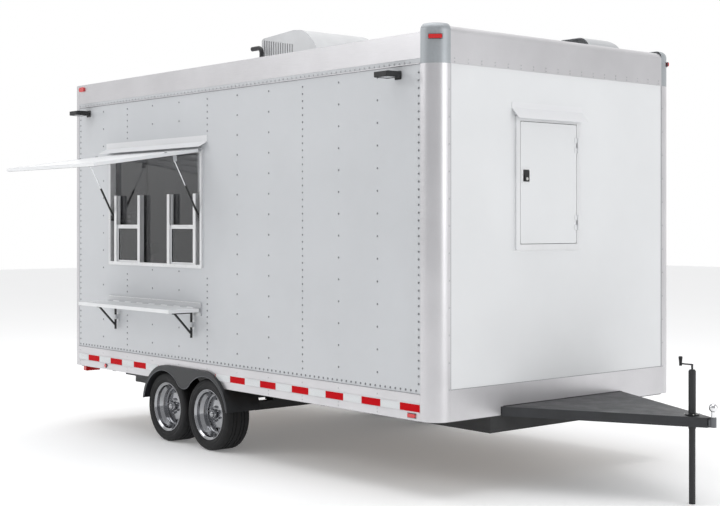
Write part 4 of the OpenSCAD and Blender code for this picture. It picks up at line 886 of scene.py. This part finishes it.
# ---- floodlights
def flood_details(which):
    low, high = local_box("flood_head_" + which)
    head = "flood_" + which
    fins = Kit()
    back = high.y - 0.022
    for i in range(9):
        x = low.x + 0.018 + i * (high.x - low.x - 0.036) / 8
        fins.box((x - 0.0015, low.y + 0.024, high.z - 0.0002),
                 (x + 0.0015, back - 0.012, high.z + 0.0045))
    fins.make(head + "_fins", M["flood_black"], head, "flood_black")
    glow = Kit()
    glow.box((low.x + 0.012, low.y + 0.014, low.z - 0.0012),
             (high.x - 0.012, back - 0.006, low.z + 0.0004))
    glow.make(head + "_lens", M["diffuser"], head, "clear_glass",
              bevel=0.001)
    bezel = Kit()
    gasket_frame(bezel, (low.x + 0.004, low.y + 0.006), (high.x - 0.004, back + 0.004),
                 (low.z - 0.003, low.z - 0.0001), 0.008, "z")
    bezel.make(head + "_bezel", M["flood_black"], head, "flood_black")


# ---- roof equipment
ROOF_EDGE = 3.149 + 0.0023
CROWN = 0.025


def roof_z(y):
    """Height of the crowned roof skin at y."""
    return ROOF_EDGE + CROWN * (1 - y * y / (HALF_W * HALF_W))


def roof_flashings():
    """Closes the crown at the rear edge, and the step up to the front rail and its corners."""
    steps = 24
    rear_x = -HALF_L + 0.0004
    rear_end = 1.28
    rear = Kit()
    crown = [(-rear_end + 2.56 * k / steps) for k in range(steps + 1)]
    outline = [(rear_x, -rear_end, 3.1493), (rear_x, rear_end, 3.1493)]
    outline += [(rear_x, y, roof_z(y)) for y in reversed(crown)]
    rear.plate(outline, (0.0032, 0, 0))
    rear.make("roof_rear_closure", M["rail_metal"], "trailer", "rail_metal")
    front = Kit()
    skin_end = 2.262
    rail_back = HALF_L - POST_R - 0.0012
    corner_back = HALF_L - POST_R - FLANGE - 0.0012
    rail_end = HALF_W - POST_R - FLANGE - 0.0008

    def across(k):
        return -rail_end + 2 * rail_end * k / steps

    def on_skin(x, y):
        return (x, y, roof_z(y) + 0.0006)

    strips = [(across(k), across(k + 1), rail_back) for k in range(steps)]
    strips += [(-1.286, -rail_end, corner_back), (rail_end, 1.286, corner_back)]
    for ya, yb, edge in strips:
        front.plate([on_skin(skin_end, ya), on_skin(edge, ya),
                     on_skin(edge, yb), on_skin(skin_end, yb)],
                    (0, 0, 0.0016))
    upright = rail_back - 0.002
    top = [(upright, -rail_end, 3.190), (upright, rail_end, 3.190)]
    front.plate([on_skin(upright, across(k)) for k in range(steps + 1)] + top[::-1], (0.002, 0, 0))
    upright = corner_back - 0.002
    for side in (-1, 1):
        inner, outer = side * rail_end, side * 1.284
        front.plate([on_skin(upright, inner), on_skin(upright, outer), (upright, outer, 3.172),
                     (upright, side * 1.262, 3.194), (upright, inner, 3.194)], (0.002, 0, 0))
        front.box((corner_back, min(inner, inner - side * 0.002), roof_z(inner) + 0.0006),
                  (rail_back, max(inner, inner - side * 0.002), 3.190))
    front.make("roof_front_flashing", M["rail_metal"], "trailer", "rail_metal")


def roof_details():
    low, high = local_box("ac_unit")
    foot = 3.162
    # Dark plates just inside the louvre openings: painted shade for the shroud's dim inside.
    dark = Kit()
    for i in range(13):
        x = low.x + 0.036 + i * 0.033
        z0, z1 = foot + 0.152, foot + 0.303 - i * 0.006
        for y in (low.y, high.y):
            inward = 0.011 if y == low.y else -0.011
            y0, y1 = sorted((y + inward, y + inward * 0.85))
            dark.box((x + 0.0005, y0, z0), (x + 0.0135, y1, z1))
    dark.make("shroud_louvre_painted_shade", M["dark_plastic_and_shade"], "trailer", "shroud_white")
    # Dark patches on the shroud where the drain slots are: painted shade; no slots are cut.
    dots = Kit()
    for i in range(6):
        for y, facing in ((low.y, -1), (high.y, 1)):
            y0, y1 = sorted((y + facing * 0.0001, y + facing * 0.0012))
            dots.box((low.x + 0.04 + i * 0.03, y0, foot + 0.105),
                     (low.x + 0.052 + i * 0.03, y1, foot + 0.115))
    dots.make("shroud_drain_slot_painted_shade", M["dark_plastic_and_shade"], "trailer", "shroud_white")
    seam = Kit()
    for y, facing in ((low.y, -1), (high.y, 1)):
        y0, y1 = sorted((y + facing * 0.0001, y + facing * 0.003))
        seam.box((low.x + 0.002, y0, foot + 0.070), (high.x - 0.004, y1, foot + 0.078))
    seam.make("shroud_base_seam", M["shroud_white"], "trailer", "shroud_white", bevel=0.001)
    bows = Kit()
    for i in range(7):
        x = -2.1 + i * 0.6
        # No strip under the vent and pipe, or under the air conditioner
        if -0.68 < x < 0.2 or 1.72 < x < 2.18:
            continue
        ys = [-1.27 + 2.54 * k / 16 for k in range(17)]
        strip = [(y, roof_z(y)) for y in ys]
        for (ya, za), (yb, zb) in zip(strip, strip[1:]):
            bows.plate([(x - 0.014, ya, za + 0.0002), (x + 0.014, ya, za + 0.0002),
                        (x + 0.014, yb, zb + 0.0002), (x - 0.014, yb, zb + 0.0002)], (0, 0, 0.002))
    bows.make("roof_seam_strips", M["roof_metal"], "trailer", "roof_metal")
    collar = Kit()
    collar.ring((-0.56, -0.52, 3.198), (0, 0, 1),
                [(0.0202, 0), (0.030, 0), (0.026, 0.012), (0.0202, 0.014)], 32)
    collar.make("pipe_collar", M["seal_black"], "trailer", "pipe_plastic", smooth=True)


# ---- lamps
def lamp_details():
    """Bezels of the corner, side and marker lamps, and rims round the tail lamps."""
    bezel = Kit()
    for side in (-1, 1):
        centre = Vector((HALF_L - POST_R, side * (HALF_W - POST_R), 3.112))
        turn = Matrix.Translation(centre) @ Matrix.Rotation(side * math.radians(45), 4, "Z")
        verts = []
        for a, b in (((-0.049, -0.0172), (0.049, -0.0143)), ((-0.049, 0.0143), (0.049, 0.0172)),
                     ((-0.049, -0.0143), (-0.0463, 0.0143)), ((0.0463, -0.0143), (0.049, 0.0143))):
            verts += bezel.box((POST_R + 0.0004, a[0], a[1]), (POST_R + 0.007, b[0], b[1]))
        bmesh.ops.transform(bezel.bm, matrix=turn, verts=verts)
        y0, y1 = sorted((side * (HALF_W + 0.0002), side * (HALF_W + 0.006)))
        for z0, z1 in ((0.5435, 0.5468), (0.5732, 0.5765)):
            bezel.box((2.171, y0, z0), (2.254, y1, z1))
        bezel.ring((-1.895, side * (HALF_W + 0.0002), 0.563), (0, side, 0),
                   [(0.0172, 0), (0.021, 0), (0.020, 0.006), (0.0172, 0.006)], 32)
    bezel.make("lamp_bezels", M["lip_grey"], "trailer", "rail_metal")
    tails = Kit()
    for side in (-1, 1):
        y0, y1 = sorted((side * (HALF_W - 0.221), side * (HALF_W - 0.084)))
        gasket_frame(tails, (y0, 0.470), (y1, BODY_LOW - 0.006),
                     (-HALF_L - 0.0155, -HALF_L - 0.0122), 0.006, "x")
        tails.box((-HALF_L - 0.0145, (y0 + y1) / 2 - 0.002, 0.472),
                  (-HALF_L - 0.0122, (y0 + y1) / 2 + 0.002, BODY_LOW - 0.012))
    tails.make("tail_lamp_rims", M["seal_black"], "trailer", "pipe_plastic")


# ---- wheels and fenders
def tyre(corner):
    """A tyre with four grooves, cross sipes, shoulder lugs and raised sidewall rings."""
    low, high = local_box("tyre_" + corner)
    centre = Vector(((low.x + high.x) / 2, 0, (low.z + high.z) / 2))
    side = -1 if low.y < 0 else 1
    outer = low.y if side < 0 else high.y
    width = high.y - low.y
    r = (high.z - low.z) / 2
    inward = -side
    half = [(r - 0.0852, 0.0225), (r - 0.0815, 0.0140), (r - 0.0760, 0.0080), (r - 0.0670, 0.0035),
            (r - 0.0600, 0.0012),
            (r - 0.0585, 0.0002), (r - 0.0565, 0.0002), (r - 0.0550, 0.0010), (r - 0.0400, 0.0004),
            (r - 0.0385, -0.0008),
            (r - 0.0350, -0.0008), (r - 0.0335, 0.0006), (r - 0.0250, 0.0010),
            (r - 0.0150, 0.0048), (r - 0.0095, 0.0090),
            (r - 0.0090, 0.0120), (r - 0.0040, 0.0155), (r - 0.0014, 0.0225), (r - 0.0002, 0.0300)]
    grooves = [0.060, 0.092, width - 0.092, width - 0.060]
    tread = []
    for g in grooves:
        tread += [(r, g - 0.0055), (r - 0.007, g - 0.004), (r - 0.007, g + 0.004), (r, g + 0.0055)]
    other = [(a, width - b) for a, b in reversed(half)]
    inside = [(r - 0.087, width - 0.03), (r - 0.02, width - 0.03), (r - 0.02, 0.03),
              (r - 0.087, 0.03)]
    profile = half + tread + other + inside
    kit = Kit()
    sides = 120
    loops = kit.ring((centre.x, outer, centre.z), (0, inward, 0), profile, sides)
    for i, loop in enumerate(loops):
        if i % 4:
            continue
        for v, (radius, offset) in zip(loop, profile):
            lug = radius > r - 0.0065
            if lug and (offset < 0.056 or offset > width - 0.056 or 0.064 < offset < 0.088
                        or width - 0.088 < offset < width - 0.064):
                away = Vector((v.co.x, 0, v.co.z)) - centre
                v.co -= away.normalized() * 0.004
    piece = kit.make("tyre_tread_" + corner, M["tyre_rubber"], "wheel_" + corner, "tyre_rubber",
                     sharp=40.0)
    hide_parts("tyre_" + corner)


def wheel_details(corner):
    """Hub cap, lug nuts and valve stem in the dish of a rim."""
    low, high = local_box("tyre_" + corner)
    centre = Vector(((low.x + high.x) / 2, 0, (low.z + high.z) / 2))
    side = -1 if low.y < 0 else 1
    outer = low.y if side < 0 else high.y
    inward = -side
    dish = 0.094

    def spot(angle, radius, depth):
        return Vector((centre.x + radius * math.cos(angle), outer + inward * depth,
                       centre.z + radius * math.sin(angle)))

    cap = Kit()
    cap.ring((centre.x, outer + inward * (dish - 0.058), centre.z), (0, inward, 0),
             [(0.0, 0.0), (0.012, 0.0005), (0.022, 0.004), (0.026, 0.010), (0.0275, 0.020),
              (0.033, 0.0245),
              (0.034, 0.030), (0.030, 0.031), (0.0, 0.0175)], 48)
    cap.make("hub_cap_" + corner, M["rim_metal"], "wheel_" + corner, "rim_metal",
                     sharp=40.0)
    nuts = Kit()
    for k in range(6):
        a = math.radians(30 + 60 * k)
        nuts.rod(spot(a, 0.057, dish + 0.001), spot(a, 0.057, dish - 0.018), 0.0105, 6)
        nuts.rod(spot(a, 0.057, dish - 0.018), spot(a, 0.057, dish - 0.026), 0.0085, 12, 0.004)
    nuts.make("lug_nuts_" + corner, M["rim_metal"], "wheel_" + corner, "rim_metal", bevel=0.0008)
    stem = Kit()
    a = math.radians(248)
    stem.tube([spot(a, 0.176, 0.052), spot(a, 0.172, 0.040), spot(a, 0.168, 0.024)], 0.0035, 8)
    stem.make("valve_stem_" + corner, M["seal_black"], "wheel_" + corner, "pipe_plastic",
              smooth=True)
    lip = Kit()
    lip.ring((centre.x, outer + inward * 0.0098, centre.z), (0, inward, 0),
             [(0.1985, 0.0042), (0.2000, 0.0022), (0.2035, 0.0008), (0.2068, 0.0022),
              (0.2070, 0.0060), (0.1985, 0.0060)], 96)
    lip.make("rim_lip_" + corner, M["rim_metal"], "wheel_" + corner, "rim_metal",
                     sharp=50.0)


def fender_lips():
    """Rolled bead along the two wheel arches of each fender."""
    low, high = local_box("fenders")
    mid_x = (low.x + high.x) / 2
    pitch = 0.621
    wheel_z, arch = 0.293, 0.315
    web = 0.478
    rise = web - wheel_z
    tip = ((pitch / 2) ** 2 + rise * rise - arch * arch) / (2 * (arch - rise))
    tip_z = web + tip
    kit = Kit()
    join = math.atan2(tip_z - wheel_z, pitch / 2)
    for y in (low.y + 0.0015, high.y - 0.0015):
        points = []
        for k in range(29):
            a = math.pi - 0.17 + (join - math.pi + 0.17) * k / 28
            points.append((mid_x - pitch / 2 + arch * math.cos(a), y, wheel_z + arch * math.sin(a)))
        for k in range(1, 12):
            a = math.pi + join + (math.pi - 2 * join) * k / 12
            points.append((mid_x + tip * math.cos(a), y, tip_z + tip * math.sin(a)))
        for k in range(29):
            a = math.pi - join + (0.17 - math.pi + join) * k / 28
            points.append((mid_x + pitch / 2 + arch * math.cos(a), y, wheel_z + arch * math.sin(a)))
        kit.tube(points, 0.0042, 8)
    kit.make("fender_lips", M["lip_grey"], "trailer", "tongue_steel", smooth=True)


# ---- tongue and jack
def tongue_details():
    ball = Kit()
    centre = (3.716, 0, 0.6545)
    r = 0.0297
    profile = [(0.0, r)]
    for k in range(1, 20):
        a = math.pi / 2 - math.pi * 0.84 * k / 19
        profile.append((r * math.cos(a), r * math.sin(a)))
    profile += [(0.0134, -0.0290), (0.0134, -0.0618), (0.0, -0.0618)]
    ball.ring(centre, (0, 0, 1), profile, 48)
    ball.make("ball_finish", M["ball_chrome"], "trailer", "latch_chrome",
                     sharp=40.0)
    weld = Kit()
    for side in (-1, 1):
        weld.tube([(2.441, side * 0.64, 0.5895), (2.441, side * 0.20, 0.5895),
                   (2.441, 0.0, 0.5895)], 0.003, 6)
    weld.make("tongue_weld", M["tongue_steel"], "trailer", "tongue_steel", smooth=True)
    bolts = Kit()
    for dx in (-0.034, 0.034):
        for dy in (-0.034, 0.034):
            bolts.rod((3.55 + dx, dy, 0.5962), (3.55 + dx, dy, 0.6015), 0.0055, 6)
    bolts.make("jack_flange_bolts", M["brass_tone"], "trailer", "hitch_steel")
    grip = Kit()
    low, high = local_box("jack_crank")
    grip_x = low.x + 0.012
    grip.ring((grip_x, 0, high.z - 0.062), (0, 0, 1),
              [(0.0, 0.0), (0.0088, 0.0), (0.0098, 0.006), (0.0088, 0.012), (0.0108, 0.030),
               (0.0132, 0.052),
               (0.0132, 0.058), (0.0110, 0.0622), (0.0, 0.0625)], 32)
    grip.make("crank_grip", M["seal_black"], "jack_crank", "pipe_plastic",
                     sharp=45.0)


add_camera()
add_studio()
add_floor()
side_rivets()
rail_rivets()
tape()
body_trims()
front_door_details()
rear_door_details()
for which in ("front", "rear"):
    sash(which)
    flood_details(which)
window_details()
interior()
hatch_details()
shelf_details()
roof_flashings()
roof_details()
lamp_details()
for corner in ("front_curb", "rear_curb", "front_road", "rear_road"):
    tyre(corner)
    wheel_details(corner)
fender_lips()
tongue_details()
